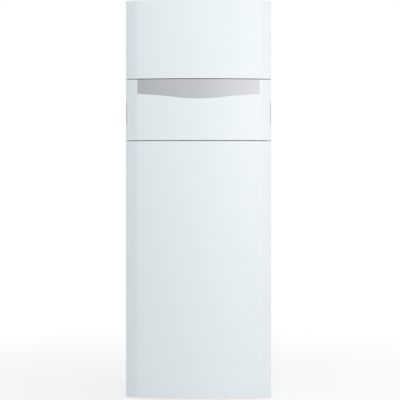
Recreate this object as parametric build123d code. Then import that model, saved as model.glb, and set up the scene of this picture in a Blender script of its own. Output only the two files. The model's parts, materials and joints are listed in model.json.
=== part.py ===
from build123d import *
import math
import os

# Floor standing gas boiler. The origin is on the floor under the middle of the casing,
# the front faces -Y, +X is the viewer's right and +Z is up. All sizes are in millimetres.

SIDES = (-1, 1)

# Overall casing
WIDTH = 599.0
DEPTH = 693.0
HEIGHT = 1640.0
SHEET = 1.2
OVERRUN = 5.0
FIT = 0.3
RUNNING_FIT = 0.05

# Plan of the front: a bulged centre, then a facet to each side, then a straight return
BULGE = 30.0
FACET_WIDTH = 45.5
FACET_DEPTH = 22.0
CREASE_RADIUS = 60.0
EDGE_RADIUS = 6.0
PANEL_RETURN = 12.0
RETURN_GAP = 2.5
TRIM_PROUD = 0.6

# Heights of the three front pieces
FLAP_TOP_SPACE = 325.0
FLAP_HEIGHT = 251.0
SEAM = 3.0
LOWER_CLEARANCE = 6.0
SIDE_CLEARANCE = 8.0

# Studs that hold the front panels in spring clips
STUD_RADIUS = 3.0
STUD_LENGTH = 14.0
STUD_INSET = 8.5
STUD_END_SPACE = 75.0
STUD_FLANGE = 16.0
CLIP_RADIUS = 5.5
CLIP_COLLAR = 1.0
CLIP_LENGTH = 11.0

# Flap, its trim and its finger recesses
FLAP_WALL = 2.5
RIB = 2.0
RIB_DEPTH = 8.0
RIB_EDGE_SPACE = 14.0
RIB_SPACING = 84.0
TRIM_THICKNESS = 1.2
TRIM_END_SPACE = 2.5
TRIM_END_HEIGHT = 59.5
TRIM_CENTRE_HEIGHT = 79.0
TRIM_FIT = 0.1
TRIM_DISTANCE_SHARES = (0, 0.167, 0.367, 0.5, 0.617, 0.767, 0.9, 1)
TRIM_DROP_SHARES = (1, 0.94, 0.73, 0.52, 0.36, 0.2, 0.07, 0)
RECESS_DEPTH = 4.0
RECESS_HEIGHT = 88.5
RECESS_RISE = 69.0

# Finger grips in the side panels
GRIP_DEPTH = 16.0
GRIP_LENGTH = 28.0
GRIP_WALL = 1.5

# Gooseneck hinge of the flap
PIVOT_DROP = 92.0
PIVOT_INSET = 11.9
ARM_INNER_RADIUS = 99.5
ARM_OUTER_RADIUS = 111.0
ARM_FRONT_ANGLE = -22.0
ARM_REAR_ANGLE = 70.0
ARM_THICKNESS = 10.0
ARM_INSET = 32.5
ARM_EYE_RADIUS = 10.0
ARM_PAD_HEIGHT = 42.0
ARM_PAD_DEPTH = 10.0
ARM_PAD_RISE = 3.2
ARM_SPOKE_WIDTH = 12.0
ARM_NOTCH_FIT = 3.0
ARM_NOTCH_DEPTH = 24.0
PIN_RADIUS = 4.0
PIN_HEAD_RADIUS = 7.0
PIN_HEAD = 2.0
PIN_END_PLAY = 0.5

# Magnetic catches behind the top corners of the flap
CATCH_WIDTH = 20.0
CATCH_LENGTH = 28.0
CATCH_HEIGHT = 25.0
CATCH_DROP = 40.0
CATCH_FRONT = 7.5

# Side panels and rear panel
SIDE_FLANGE = 15.0
SCREW_HEAD = 1.5
SCREW_HEAD_RADIUS = 4.0
SCREW_RADIUS = 2.0
SCREW_LENGTH = 8.0
REAR_SCREW_ROWS = 6
REAR_SCREW_END_SPACE = 70.0
BEAD_HEIGHT = 1.0
BEAD_WIDTH = 14.0
BEAD_INSET = 60.0
BEAD_COUNT = 5

# Top cover with its lower ledge behind
STEP_SPACE = 30.6
LEDGE_DROP = 75.0
COVER_FLANGE = 15.0

# Front posts: channels open to the outside
POST_WIDTH = 24.0
POST_DEPTH = 40.0
POST_WALL = 2.0

# Base frame and levelling feet
BASE_BOTTOM = 22.0
BASE_HEIGHT = 40.0
BASE_WALL = 2.5
BASE_RIBS = 2
FOOT_INSET_X = 45.0
FOOT_INSET_Y = 50.0
FOOT_RADIUS = 24.0
FOOT_DISC = 6.0
FOOT_TAPER = 5.0
FOOT_NECK_RADIUS = 12.0
FOOT_HEX_RADIUS = 9.0
FOOT_HEX_HEIGHT = 7.0
FOOT_STUD_RADIUS = 5.0
FOOT_BOSS_RADIUS = 13.0
FOOT_STUD_SPARE = 4.0

# Equipment shelf above the cylinder
SHELF_GAP = 13.0
SHELF_SHEET = 2.0
SHELF_FRONT_SPACE = 90.0
EQUIPMENT_HEIGHT = 640.0
SHELF_LIP = 12.0

# Hot water cylinder and its jacket
TANK_SIDE_SPACE = 59.5
TANK_DEPTH_SPACE = 106.5
TANK_REAR_SPACE = 13.8
TANK_WALL = 3.0
TANK_DOME = 60.0
DOME_MIDDLE_SHARE = 0.268
TANK_LEG_HEIGHT = 23.0
TANK_LEG_RADIUS = 12.0
TANK_LEG_INSET = 70.0
TANK_LEGS = 3
JACKET_WALL = 25.0
JACKET_END = 10.0
NOZZLE_RADIUS = 11.0
NOZZLE_WALL = 2.0
FLANGE_RISE = 240.0
FLANGE_RADIUS = 62.0
FLANGE_NECK_WALL = 3.0
FLANGE_COVER = 8.0
FLANGE_RIM = 14.0
FLANGE_BOLTS = 6
FLANGE_BOLT_HEAD = 5.0
FLANGE_BOLT_RADIUS = 6.0
ANODE_RADIUS = 13.0
ANODE_LENGTH = 420.0
ANODE_HEAD_RADIUS = 18.0
ANODE_HEAD = 8.0

# Pipes of the boiler
PIPE_RADIUS = 11.0
PIPE_WALL = 1.0
PIPE_BEND = 18.0
THREAD_RADIUS = 13.2
THREAD_LENGTH = 22.0
PIPE_HOLE_FIT = 1.0
PIPE_ROW_INSET = 34.5
PIPE_SIDE_SPACE = 20.3
PIPE_LEVEL = 60.0
GAS_RADIUS = 9.0
GAS_BEND = 14.0
GAS_LEVEL = 65.0
GAS_STEP = 32.0
DRAIN_RADIUS = 10.0
DRAIN_LEVEL = 30.0
DRAIN_SOCKET = 25.0
DRAIN_SHOULDER = 1.0

# Heat exchanger, burner and sump
DRUM_SIDE_SPACE = 168.3
DRUM_END_SPACE = 52.5
DRUM_SETBACK = 12.5
DRUM_HEIGHT = 260.0
DRUM_WALL = 3.0
COIL_SPACE = 8.0
COIL_GROOVE = 6.0
COIL_TURNS = 9
COIL_WALL = 2.0
COIL_END_SPACE = 12.0
SUMP_LEG = 140.0
SUMP_HEIGHT = 50.0
SUMP_INSET = 5.0
SUMP_LEG_RADIUS = 8.0
SUMP_ARM_WIDTH = 110.0
SUMP_WALL = 3.0
SUMP_LEG_ANGLES = (-90.0, 31.0, 158.0)
DOOR_THICKNESS = 15.0
DOOR_BOLTS = 6
DOOR_BOLT_RADIUS = 5.0
DOOR_BOLT_HEAD = 5.0
BURNER_LENGTH = 150.0
BURNER_WALL = 1.5
BURNER_HOLE_RADIUS = 2.0
BURNER_HOLE_ROWS = 5
BURNER_HOLES = 12
ELECTRODE_RADIUS = 2.0
ELECTRODE_LENGTH = 60.0
ELECTRODE_BODY_RADIUS = 6.0
ELECTRODE_BODY_HEIGHT = 10.0

# Fan
FAN_HEIGHT = 60.0
FAN_WALL = 8.0
FAN_NECK = 15.0
IMPELLER_RIM_SPACE = 10.0
IMPELLER_EDGE_SPACE = 5.0
IMPELLER_DISC = 2.0
IMPELLER_HUB_RADIUS = 14.0
IMPELLER_BLADES = 12
BLADE_THICKNESS = 2.0
SHAFT_RADIUS = 4.0
SHAFT_LENGTH = 24.0
MOTOR_HEIGHT = 40.0

# Air silencer
SILENCER_WIDTH = 55.0
SILENCER_DEPTH = 100.0
SILENCER_HEIGHT = 220.0
SILENCER_GAP = 12.0
SILENCER_WALL = 2.5
DUCT_RADIUS = 20.0
DUCT_WALL = 2.0
DUCT_BEND = 26.0

# Gas valve
VALVE_WIDTH = 50.0
VALVE_DEPTH = 45.0
VALVE_HEIGHT = 80.0
VALVE_SIDE_SPACE = 31.3
VALVE_Y = -127.0
VALVE_COIL_RADIUS = 15.0
VALVE_COIL_HEIGHT = 16.0
INJECTOR_RADIUS = 6.0
INJECTOR_BEND = 12.0
INJECTOR_INSET = 40.0

# Expansion vessel
VESSEL_FRONT_SPACE = 80.0
VESSEL_REAR_SPACE = 33.8
VESSEL_WIDTH = 104.0
VESSEL_RIM = 6.0
VESSEL_RISE = 290.0
VESSEL_SIDE_GAP = 14.0
VESSEL_BRACKET = 60.0
VESSEL_WALL = 2.0

# Plate heat exchanger
PLATE_LENGTH = 200.0
PLATE_HEIGHT = 125.0
PLATE_Y = -90.0
PLATE_COUNT = 12
PLATE_GROOVE = 2.0
PLATE_BORDER = 6.0

# Pumps
PUMP_RADIUS = 45.0
PUMP_FOOT = 30.0
PUMP_FOOT_RADIUS = 20.0
PUMP_HEIGHT = 60.0
PUMP_MOTOR_RADIUS = 34.0
PUMP_MOTOR_HEIGHT = 45.0
PUMP_NOZZLE = 12.0
HEATING_PUMP_SPACE = 88.3
HEATING_PUMP_Y = -30.0
CHARGING_PUMP_Y = 130.0
RISER_RADIUS = 9.0
RISER_SIDE_SPACE = 22.3
RISER_RISE = 35.0

# Diverter valve
DIVERTER_X = 50.0
DIVERTER_WIDTH = 50.0
DIVERTER_DEPTH = 60.0
DIVERTER_HEIGHT = 90.0
ACTUATOR_HEIGHT = 38.0
ACTUATOR_INSET = 6.0
LINK_RADIUS = 8.0

# Relief valve on the heating pump
RELIEF_LEVEL = 45.0
RELIEF_RADIUS = 12.0
RELIEF_LENGTH = 38.0
RELIEF_KNOB_RADIUS = 17.0
RELIEF_KNOB_LENGTH = 14.0
RELIEF_STEM_RADIUS = 4.0
RELIEF_STEM_LENGTH = 10.0
KNOB_LOBES = 6
KNOB_LOBE_RADIUS = 4.0

# Siphon
SIPHON_HEIGHT = 118.0
SIPHON_WALL = 2.0
SIPHON_FOOT = 10.0
SPOUT_RADIUS = 12.0

# Flue adapter
FLUE_INSET = 130.0
FLUE_RADIUS = 30.3
FLUE_WALL = 2.0
COLLAR_RADIUS = 51.5
COLLAR_WALL = 2.0
COLLAR_HEIGHT = 60.0
FLUE_STEP = 6.0
FLUE_SOCKET = 45.0
FLUE_SHOULDER = 1.5
COLLAR_BASE = 18.0
COLLAR_BASE_WALL = 1.0
FLUE_FLANGE = 132.0
FLUE_FLANGE_SHEET = 3.0
FLUE_WEB = 3.0
PORT_RADIUS = 5.0
PORT_LENGTH = 10.0

# Cable glands on the ledge
GLAND_RADIUS = 10.0
GLAND_BORE_RADIUS = 5.0
GLAND_HEIGHT = 20.0
GLAND_NUT = 6.0
GLAND_INSET = 59.5
GLAND_SPACING = 34.0

# Electronics box
BOX_SIDE_SPACE = 59.5
BOX_INSET = 23.9
BOX_DEPTH = 108.0
BOX_RISE = 11.0
BOX_HEIGHT = 230.0
BOX_WALL = 2.5
BOX_EAR = 4.0
BOX_EAR_DROP = 15.0
BOX_EAR_HEIGHT = 150.0
BOARD_THICKNESS = 1.6
BOARD_MARGIN = 20.0
BOARD_STANDOFF = 10.0
CONNECTORS = 9
STANDOFF_RADIUS = 4.0

# Fascia behind the flap
FASCIA_DEPTH = 34.0
FASCIA_MARGIN = 1.0
FASCIA_WALL = 3.0
WINDOW_WIDTH = 120.0
WINDOW_HEIGHT = 66.0
WINDOW_RISE = 10.0
DISPLAY_MARGIN = 8.0
DISPLAY_LIP = 1.5
DISPLAY_BOARD_MARGIN = 55.0

# Keys and the power rocker
KEY_WIDTH = 22.0
KEY_HEIGHT = 12.0
KEY_PROUD = 3.0
KEY_LIP = 1.5
KEY_LIP_MARGIN = 2.0
KEY_STEM = 6.0
KEY_TRAVEL = 1.0
KEY_PLAY = 0.2
KEY_SPACING = 30.0
KEY_GAP = 28.0
SWITCH_SIZE = 6.0
SWITCH_HEIGHT = 3.5
ROCKER_RADIUS = 10.0
ROCKER_WIDTH = 13.0
ROCKER_INSET = 54.0
ROCKER_TILT = 7.0
ROCKER_FRONT = 4.5
ROCKER_BACK = 5.0
ROCKER_SINK = 5.0
ROCKER_PIN_RADIUS = 1.5
ROCKER_PIN = 1.5
ROCKER_SOCKET = 18.0
ROCKER_SOCKET_WALL = 3.0

# Places that follow from the sizes above
HALF_WIDTH = WIDTH / 2
SIDE_INNER_X = HALF_WIDTH - SHEET
ARC_HALF = HALF_WIDTH - FACET_WIDTH
TRIM_HALF_WIDTH = ARC_HALF - TRIM_END_SPACE
FRONT_Y = TRIM_PROUD - DEPTH / 2
ARC_END_Y = FRONT_Y + BULGE
EDGE_Y = ARC_END_Y + FACET_DEPTH
RETURN_Y = EDGE_Y + PANEL_RETURN
SIDE_FRONT_Y = RETURN_Y + RETURN_GAP
REAR_Y = DEPTH / 2 - SCREW_HEAD
REAR_PANEL_Y = REAR_Y - SHEET
FLAP_TOP = HEIGHT - FLAP_TOP_SPACE
FLAP_BOTTOM = FLAP_TOP - FLAP_HEIGHT
LOWER_TOP = FLAP_BOTTOM - SEAM
UPPER_BOTTOM = FLAP_TOP + SEAM
PIVOT_Y = RETURN_Y + PIVOT_INSET
PIVOT_Z = FLAP_BOTTOM - PIVOT_DROP
ARM_OFFSET = HALF_WIDTH - ARM_INSET
STUD_X = HALF_WIDTH - STUD_INSET
POST_INNER_X = SIDE_INNER_X - POST_WIDTH
POST_FRONT_Y = SIDE_FRONT_Y + SHEET
POST_REAR_Y = POST_FRONT_Y + POST_DEPTH
RECESS_BOTTOM = FLAP_BOTTOM + RECESS_RISE
RECESS_TOP = RECESS_BOTTOM + RECESS_HEIGHT
COVER_Z = HEIGHT - SHEET
LEDGE_TOP = HEIGHT - LEDGE_DROP
LEDGE_Z = LEDGE_TOP - SHEET
BASE_TOP = BASE_BOTTOM + BASE_HEIGHT
TANK_BOTTOM = BASE_TOP + TANK_LEG_HEIGHT
TANK_RADIUS = min(HALF_WIDTH - TANK_SIDE_SPACE, DEPTH / 2 - TANK_DEPTH_SPACE)
TANK_LEG_CIRCLE = TANK_RADIUS - TANK_LEG_INSET
JACKET_RADIUS = TANK_RADIUS + JACKET_WALL
TANK_Y = REAR_PANEL_Y - TANK_REAR_SPACE - JACKET_RADIUS
FLANGE_FRONT_Y = TANK_Y - JACKET_RADIUS - FLANGE_RIM
SHELF_TOP = HEIGHT - EQUIPMENT_HEIGHT
SHELF_Z = SHELF_TOP - SHELF_SHEET
SHELF_FRONT_Y = POST_REAR_Y + SHELF_FRONT_SPACE
JACKET_TOP = SHELF_Z - SHELF_GAP
TANK_TOP = JACKET_TOP - 2 * JACKET_END
JACKET_BOTTOM = TANK_BOTTOM - JACKET_END
PIPE_ROW_Y = DEPTH / 2 - PIPE_ROW_INSET
FLOW_X = VESSEL_SIDE_GAP + VESSEL_WIDTH + PIPE_SIDE_SPACE - SIDE_INNER_X
HOT_X = 5 * FLOW_X / 8
GAS_X = 0
COLD_X = -HOT_X
RETURN_X = -FLOW_X
PLATE_WIDTH = 4 * COLD_X / 5
PLATE_X = HOT_X - PLATE_WIDTH / 2
FLUE_Y = REAR_Y - FLUE_INSET
GLAND_X = HALF_WIDTH - GLAND_INSET
BOX_HALF_WIDTH = HALF_WIDTH - BOX_SIDE_SPACE
BOX_FRONT_Y = RETURN_Y + BOX_INSET
BOX_REAR_Y = BOX_FRONT_Y + BOX_DEPTH
VESSEL_RADIUS = (REAR_PANEL_Y - VESSEL_REAR_SPACE - BOX_REAR_Y - VESSEL_FRONT_SPACE) / 2
VESSEL_Y = REAR_PANEL_Y - VESSEL_REAR_SPACE - VESSEL_RADIUS
DRUM_RADIUS = min(SIDE_INNER_X - DRUM_SIDE_SPACE, (FLUE_Y - BOX_REAR_Y) / 2 - DRUM_END_SPACE)
DRUM_X = 6 * DRUM_RADIUS / 13
DRUM_Y = (FLUE_Y + BOX_REAR_Y) / 2 - DRUM_SETBACK
COIL_RADIUS = DRUM_RADIUS - COIL_SPACE
COIL_BORE_RADIUS = 34 * DRUM_RADIUS / 65
SUMP_RADIUS = DRUM_RADIUS - SUMP_INSET
BURNER_RADIUS = 7 * DRUM_RADIUS / 26
ELECTRODE_OFFSET = 11 * DRUM_RADIUS / 26
FAN_RADIUS = 8 * DRUM_RADIUS / 13
FAN_OFFSET = 7 * DRUM_RADIUS / 13
FAN_NECK_RADIUS = 5 * DRUM_RADIUS / 26
FAN_NECK_OFFSET = 2 * DRUM_RADIUS / 13
IMPELLER_RADIUS = FAN_RADIUS - FAN_WALL - IMPELLER_RIM_SPACE
MOTOR_RADIUS = FAN_RADIUS / 2
COVER_STEP_Y = DRUM_Y + MOTOR_RADIUS + STEP_SPACE
SIPHON_Y = DRUM_Y - 9 * DRUM_RADIUS / 13
SIPHON_RADIUS = 14 * DRUM_RADIUS / 65
HEATING_PUMP_X = SIDE_INNER_X - HEATING_PUMP_SPACE
DIVERTER_Y = HEATING_PUMP_Y - DIVERTER_DEPTH / 2
RISER_X = SIDE_INNER_X - RISER_SIDE_SPACE
VALVE_X = SIDE_INNER_X - VALVE_SIDE_SPACE
LEVEL_Z = SHELF_TOP + PIPE_LEVEL
SUMP_Z = SHELF_TOP + SUMP_LEG
DRUM_Z = SUMP_Z + SUMP_HEIGHT
DRUM_TOP = DRUM_Z + DRUM_HEIGHT
DOOR_TOP = DRUM_TOP + DOOR_THICKNESS
FAN_X = DRUM_X - FAN_OFFSET
FAN_Z = DOOR_TOP + FAN_NECK
FAN_TOP = FAN_Z + FAN_HEIGHT
DUCT_Z = FAN_Z + FAN_HEIGHT / 2
DRUM_SIDE_X = DRUM_X + DRUM_RADIUS
SILENCER_X = DRUM_SIDE_X + SILENCER_GAP
INJECTOR_X = DRUM_SIDE_X - INJECTOR_INSET
SILENCER_TOP = FAN_Z
GAS_Z = LEDGE_TOP - GAS_LEVEL
VALVE_TOP = GAS_Z - GAS_BEND - GAS_RADIUS
VALVE_BOTTOM = VALVE_TOP - VALVE_HEIGHT
VALVE_LEFT_X = VALVE_X - VALVE_WIDTH / 2
INJECTOR_Z = VALVE_BOTTOM + VALVE_HEIGHT / 2
PUMP_Z = SHELF_TOP + PUMP_FOOT
PUMP_TOP = PUMP_Z + PUMP_HEIGHT
RELIEF_FRONT_Y = HEATING_PUMP_Y - PUMP_RADIUS - RELIEF_LENGTH
PLATE_RIGHT_X = PLATE_X + PLATE_WIDTH
PLATE_REAR_Y = PLATE_Y + PLATE_LENGTH
BOX_BOTTOM = FLAP_BOTTOM + BOX_RISE
BOX_TOP = BOX_BOTTOM + BOX_HEIGHT
FASCIA_Y = BOX_FRONT_Y - FASCIA_DEPTH
FASCIA_INNER_Y = FASCIA_Y + FASCIA_WALL
FASCIA_BOTTOM = BOX_BOTTOM + FASCIA_MARGIN
FASCIA_TOP = BOX_TOP - FASCIA_MARGIN
FASCIA_HALF_WIDTH = BOX_HALF_WIDTH - FASCIA_MARGIN
ROCKER_X = FASCIA_HALF_WIDTH - ROCKER_INSET
WINDOW_Z = (FASCIA_BOTTOM + FASCIA_TOP) / 2 + WINDOW_RISE
KEY_LIP_Y = FASCIA_INNER_Y + FIT
KEY_BACK_Y = KEY_LIP_Y + KEY_LIP + KEY_STEM
SWITCH_Y = KEY_BACK_Y + KEY_TRAVEL + KEY_PLAY
DISPLAY_BOARD_Y = SWITCH_Y + SWITCH_HEIGHT
ROCKER_Y = FASCIA_Y + ROCKER_SINK
ROCKER_Z = WINDOW_Z
CATCH_Z = FLAP_TOP - CATCH_DROP
KEY_X = WINDOW_WIDTH / 2 + KEY_GAP


def block(x0, x1, y0, y1, z0, z1):
    """A box between two opposite corners."""
    middle = Pos((x0 + x1) / 2, (y0 + y1) / 2, (z0 + z1) / 2)
    return middle * Box(abs(x1 - x0), abs(y1 - y0), abs(z1 - z0))


def rod_x(x0, x1, y, z, radius):
    """A round rod along X."""
    return Pos((x0 + x1) / 2, y, z) * Rot(0, 90, 0) * Cylinder(radius, abs(x1 - x0))


def rod_y(x, y0, y1, z, radius):
    """A round rod along Y."""
    return Pos(x, (y0 + y1) / 2, z) * Rot(90, 0, 0) * Cylinder(radius, abs(y1 - y0))


def rod_z(x, y, z0, z1, radius):
    """An upright round rod."""
    return Pos(x, y, (z0 + z1) / 2) * Cylinder(radius, abs(z1 - z0))


def hexagon_z(x, y, z0, z1, radius):
    """An upright hexagonal prism."""
    return extrude(Plane.XY.offset(z0) * Pos(x, y) * RegularPolygon(radius, 6), z1 - z0)


def bent_rod(points, radius, bend):
    """A round rod along straight runs joined by tangent arcs."""
    path = FilletPolyline(*points, radius=bend)
    start = Plane(origin=path @ 0, z_dir=path % 0)
    return sweep(start * Circle(radius), path=path)


def front_plan(inset, back_y):
    """Plan of the front, a set depth under its skin, closed by a straight line at back_y."""
    arc = ThreePointArc((-ARC_HALF, ARC_END_Y), (0, FRONT_Y), (ARC_HALF, ARC_END_Y))
    right = Polyline((ARC_HALF, ARC_END_Y), (HALF_WIDTH, EDGE_Y), (HALF_WIDTH, back_y + inset))
    rear = Line((HALF_WIDTH, back_y + inset), (-HALF_WIDTH, back_y + inset))
    left = Polyline((-HALF_WIDTH, back_y + inset), (-HALF_WIDTH, EDGE_Y), (-ARC_HALF, ARC_END_Y))
    plan = make_face(arc + right + rear + left)
    plan = fillet(plan.vertices().group_by(Axis.Y)[0], CREASE_RADIUS)
    plan = fillet(plan.vertices().group_by(Axis.Y)[-2], EDGE_RADIUS)
    if inset:
        plan = offset(plan, -inset, kind=Kind.INTERSECTION)
    return plan


def front_prism(inset, back_y, z0, z1):
    """The plan of the front raised between two heights."""
    return extrude(Plane.XY.offset(z0) * front_plan(inset, back_y), z1 - z0)


def stud(side, z):
    """A stud with a tapered tip on the back flange of a front panel."""
    shank = rod_y(side * STUD_X, RETURN_Y, RETURN_Y + STUD_LENGTH - STUD_RADIUS, z, STUD_RADIUS)
    tip_y = RETURN_Y + STUD_LENGTH - STUD_RADIUS / 2
    tip = Pos(side * STUD_X, tip_y, z) * Rot(-90, 0, 0) * Cone(STUD_RADIUS, STUD_RADIUS / 2, STUD_RADIUS)
    return shank + tip


def stud_heights(z0, z1):
    """The two stud heights of a front panel."""
    return (z0 + STUD_END_SPACE, z1 - STUD_END_SPACE)


def front_panel(z0, z1):
    """A sheet metal front panel with closed ends, back flanges and studs."""
    panel = front_prism(0, RETURN_Y, z0, z1)
    panel -= front_prism(SHEET, RETURN_Y + OVERRUN, z0 + SHEET, z1 - SHEET)
    for side in SIDES:
        inner_x = side * (HALF_WIDTH - STUD_FLANGE)
        panel += block(inner_x, side * (HALF_WIDTH - SHEET / 2), RETURN_Y - SHEET, RETURN_Y, z0, z1)
        for z in stud_heights(z0, z1):
            panel += stud(side, z)
    return panel


def upper_front_panel():
    return front_panel(UPPER_BOTTOM, HEIGHT)


def lower_front_panel():
    """The lower panel, its top edge notched where the flap's arms swing through."""
    panel = front_panel(LOWER_CLEARANCE, LOWER_TOP)
    half = ARM_THICKNESS / 2 + ARM_NOTCH_FIT
    for side in SIDES:
        x = side * ARM_OFFSET
        y1 = RETURN_Y + OVERRUN
        y0 = RETURN_Y - ARM_NOTCH_DEPTH
        panel -= block(x - half, x + half, y0, y1, LOWER_TOP - 2 * SHEET, LOWER_TOP + OVERRUN)
    return panel


def trim_prism():
    """The outline of the trim band, run through the flap from front to back."""
    top = FLAP_TOP
    ends = top - TRIM_END_HEIGHT
    drop = TRIM_CENTRE_HEIGHT - TRIM_END_HEIGHT
    right = []
    for across, down in zip(TRIM_DISTANCE_SHARES, TRIM_DROP_SHARES):
        right.append((across * TRIM_HALF_WIDTH, ends - down * drop))
    left = [(-x, z) for x, z in reversed(right[1:])]
    edge = Spline(*(left + right))
    corners = Polyline(
        (TRIM_HALF_WIDTH, ends), (TRIM_HALF_WIDTH, top), (-TRIM_HALF_WIDTH, top), (-TRIM_HALF_WIDTH, ends)
    )
    outline = make_face(edge + corners)
    return extrude(Plane.XZ.offset(-EDGE_Y) * outline, EDGE_Y - FRONT_Y + OVERRUN)


def trim_shell(inset, outset):
    """The layer of the flap's skin between two depths."""
    shell = front_prism(-outset, RETURN_Y, FLAP_BOTTOM, FLAP_TOP)
    return shell - front_prism(inset, RETURN_Y + OVERRUN, FLAP_BOTTOM - OVERRUN, FLAP_TOP + OVERRUN)


def flap_trim():
    """The brushed band, half sunk in the flap's skin and half proud of it."""
    return trim_prism() & trim_shell(TRIM_THICKNESS - TRIM_PROUD, TRIM_PROUD)


def control_flap():
    """The moulded flap: a skin with a top edge, side returns, ribs and finger recesses."""
    solid = front_prism(0, RETURN_Y, FLAP_BOTTOM, FLAP_TOP)
    low = FLAP_BOTTOM - OVERRUN
    back = RETURN_Y + OVERRUN
    flap = solid - front_prism(FLAP_WALL, back, low, FLAP_TOP - FLAP_WALL)
    rib_bottom = FLAP_BOTTOM + RIB_EDGE_SPACE
    rib_band = front_prism(FLAP_WALL / 2, RETURN_Y, rib_bottom, FLAP_TOP - FLAP_WALL / 2)
    rib_band -= front_prism(FLAP_WALL + RIB_DEPTH, back, low, FLAP_TOP + OVERRUN)
    ribs = block(-ARC_HALF, ARC_HALF, FRONT_Y, RETURN_Y, FLAP_BOTTOM, rib_bottom + RIB)
    for side in SIDES:
        for n in range(1, 3):
            x = side * n * RIB_SPACING
            ribs += block(x - RIB / 2, x + RIB / 2, FRONT_Y, RETURN_Y, FLAP_BOTTOM, FLAP_TOP)
    flap += rib_band & ribs
    for side in SIDES:
        outer = side * HALF_WIDTH
        inner = side * (HALF_WIDTH - RECESS_DEPTH)
        wall = side * (HALF_WIDTH - RECESS_DEPTH - FLAP_WALL)
        front = EDGE_Y - FACET_DEPTH
        z0 = RECESS_BOTTOM - FLAP_WALL
        flap += block(wall, outer, front, RETURN_Y, z0, RECESS_TOP + FLAP_WALL) & solid
        over = side * (HALF_WIDTH + OVERRUN)
        flap -= block(inner, over, front, back, RECESS_BOTTOM, RECESS_TOP)
        x = side * ARM_OFFSET
        plate = block(
            x - CATCH_WIDTH / 2,
            x + CATCH_WIDTH / 2,
            ARC_END_Y,
            RETURN_Y - CATCH_FRONT - FIT,
            CATCH_Z,
            CATCH_Z + CATCH_HEIGHT,
        )
        flap += plate & front_prism(FLAP_WALL / 2, RETURN_Y, FLAP_BOTTOM, FLAP_TOP)
    groove = trim_prism() & trim_shell(TRIM_THICKNESS - TRIM_PROUD, TRIM_FIT)
    return flap - groove


def arm_point(angle, radius):
    """A point of the arm's plane at an angle back from straight above the pivot."""
    turn = math.radians(angle)
    return (PIVOT_Y + radius * math.sin(turn), PIVOT_Z + radius * math.cos(turn))


def flap_arm(side):
    """One gooseneck arm: an eye on the pivot, a spoke, a curved neck and a pad on the flap."""
    start = side * ARM_OFFSET - ARM_THICKNESS / 2
    plane = Plane.YZ.offset(start)
    middle = (ARM_FRONT_ANGLE + ARM_REAR_ANGLE) / 2
    far = 2 * ARM_OUTER_RADIUS
    wedge = make_face(
        Polyline(
            (PIVOT_Y, PIVOT_Z),
            arm_point(ARM_FRONT_ANGLE, far),
            arm_point(middle, far),
            arm_point(ARM_REAR_ANGLE, far),
            (PIVOT_Y, PIVOT_Z),
        )
    )
    ring = Pos(PIVOT_Y, PIVOT_Z) * (Circle(ARM_OUTER_RADIUS) - Circle(ARM_INNER_RADIUS))
    neck_radius = (ARM_INNER_RADIUS + ARM_OUTER_RADIUS) / 2
    neck_end = arm_point(ARM_REAR_ANGLE, neck_radius)
    spoke_middle = arm_point(ARM_REAR_ANGLE, neck_radius / 2)
    spoke = Pos(*spoke_middle) * Rot(0, 0, -ARM_REAR_ANGLE) * Rectangle(ARM_SPOKE_WIDTH, neck_radius)
    elbow = Pos(*neck_end) * Circle((ARM_OUTER_RADIUS - ARM_INNER_RADIUS) / 2)
    eye = Pos(PIVOT_Y, PIVOT_Z) * Circle(ARM_EYE_RADIUS)
    plan = (ring & wedge) + spoke + elbow + eye
    plan -= Pos(PIVOT_Y, PIVOT_Z) * Circle(PIN_RADIUS + RUNNING_FIT)
    arm = extrude(plane * plan, ARM_THICKNESS)
    pad_y = arm_point(ARM_FRONT_ANGLE, neck_radius)[0] + ARM_PAD_DEPTH
    pad_z = FLAP_BOTTOM + ARM_PAD_RISE
    arm += block(start, start + ARM_THICKNESS, EDGE_Y - FACET_DEPTH, pad_y, pad_z, pad_z + ARM_PAD_HEIGHT)
    return arm & front_prism(FLAP_WALL, DEPTH, 0, HEIGHT)


def flap_arms():
    return Compound(children=[solid for side in SIDES for solid in flap_arm(side).solids()])


def flap_hinge_pins():
    """Headed pins that stand out of the posts and carry the arms."""
    pins = []
    for side in SIDES:
        arm_inner = side * (ARM_OFFSET - ARM_THICKNESS / 2 - PIN_END_PLAY)
        arm_outer = side * (ARM_OFFSET + ARM_THICKNESS / 2 + PIN_END_PLAY)
        head = side * (ARM_OFFSET - ARM_THICKNESS / 2 - PIN_END_PLAY - PIN_HEAD)
        pin = rod_x(head, side * (POST_INNER_X + POST_WALL), PIVOT_Y, PIVOT_Z, PIN_RADIUS)
        pin += rod_x(head, arm_inner, PIVOT_Y, PIVOT_Z, PIN_HEAD_RADIUS)
        pin += rod_x(arm_outer, side * POST_INNER_X, PIVOT_Y, PIVOT_Z, PIN_HEAD_RADIUS)
        pins.append(pin)
    return Compound(children=[solid for pin in pins for solid in pin.solids()])


def flap_catches():
    """Magnetic catches on the posts behind the top corners of the flap."""
    catches = []
    for side in SIDES:
        inner = side * (ARM_OFFSET - CATCH_WIDTH / 2)
        front = RETURN_Y - CATCH_FRONT
        rear = front + CATCH_LENGTH
        catch = block(inner, side * POST_INNER_X, front, rear, CATCH_Z, CATCH_Z + CATCH_HEIGHT)
        slot_z = CATCH_Z + CATCH_HEIGHT / 2
        catch -= block(
            side * (ARM_OFFSET - CATCH_WIDTH / 4),
            side * (ARM_OFFSET + CATCH_WIDTH / 8),
            front - OVERRUN,
            front + SHEET,
            slot_z - CATCH_HEIGHT / 4,
            slot_z + CATCH_HEIGHT / 4,
        )
        catches.append(catch)
    return Compound(children=[solid for catch in catches for solid in catch.solids()])


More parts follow.
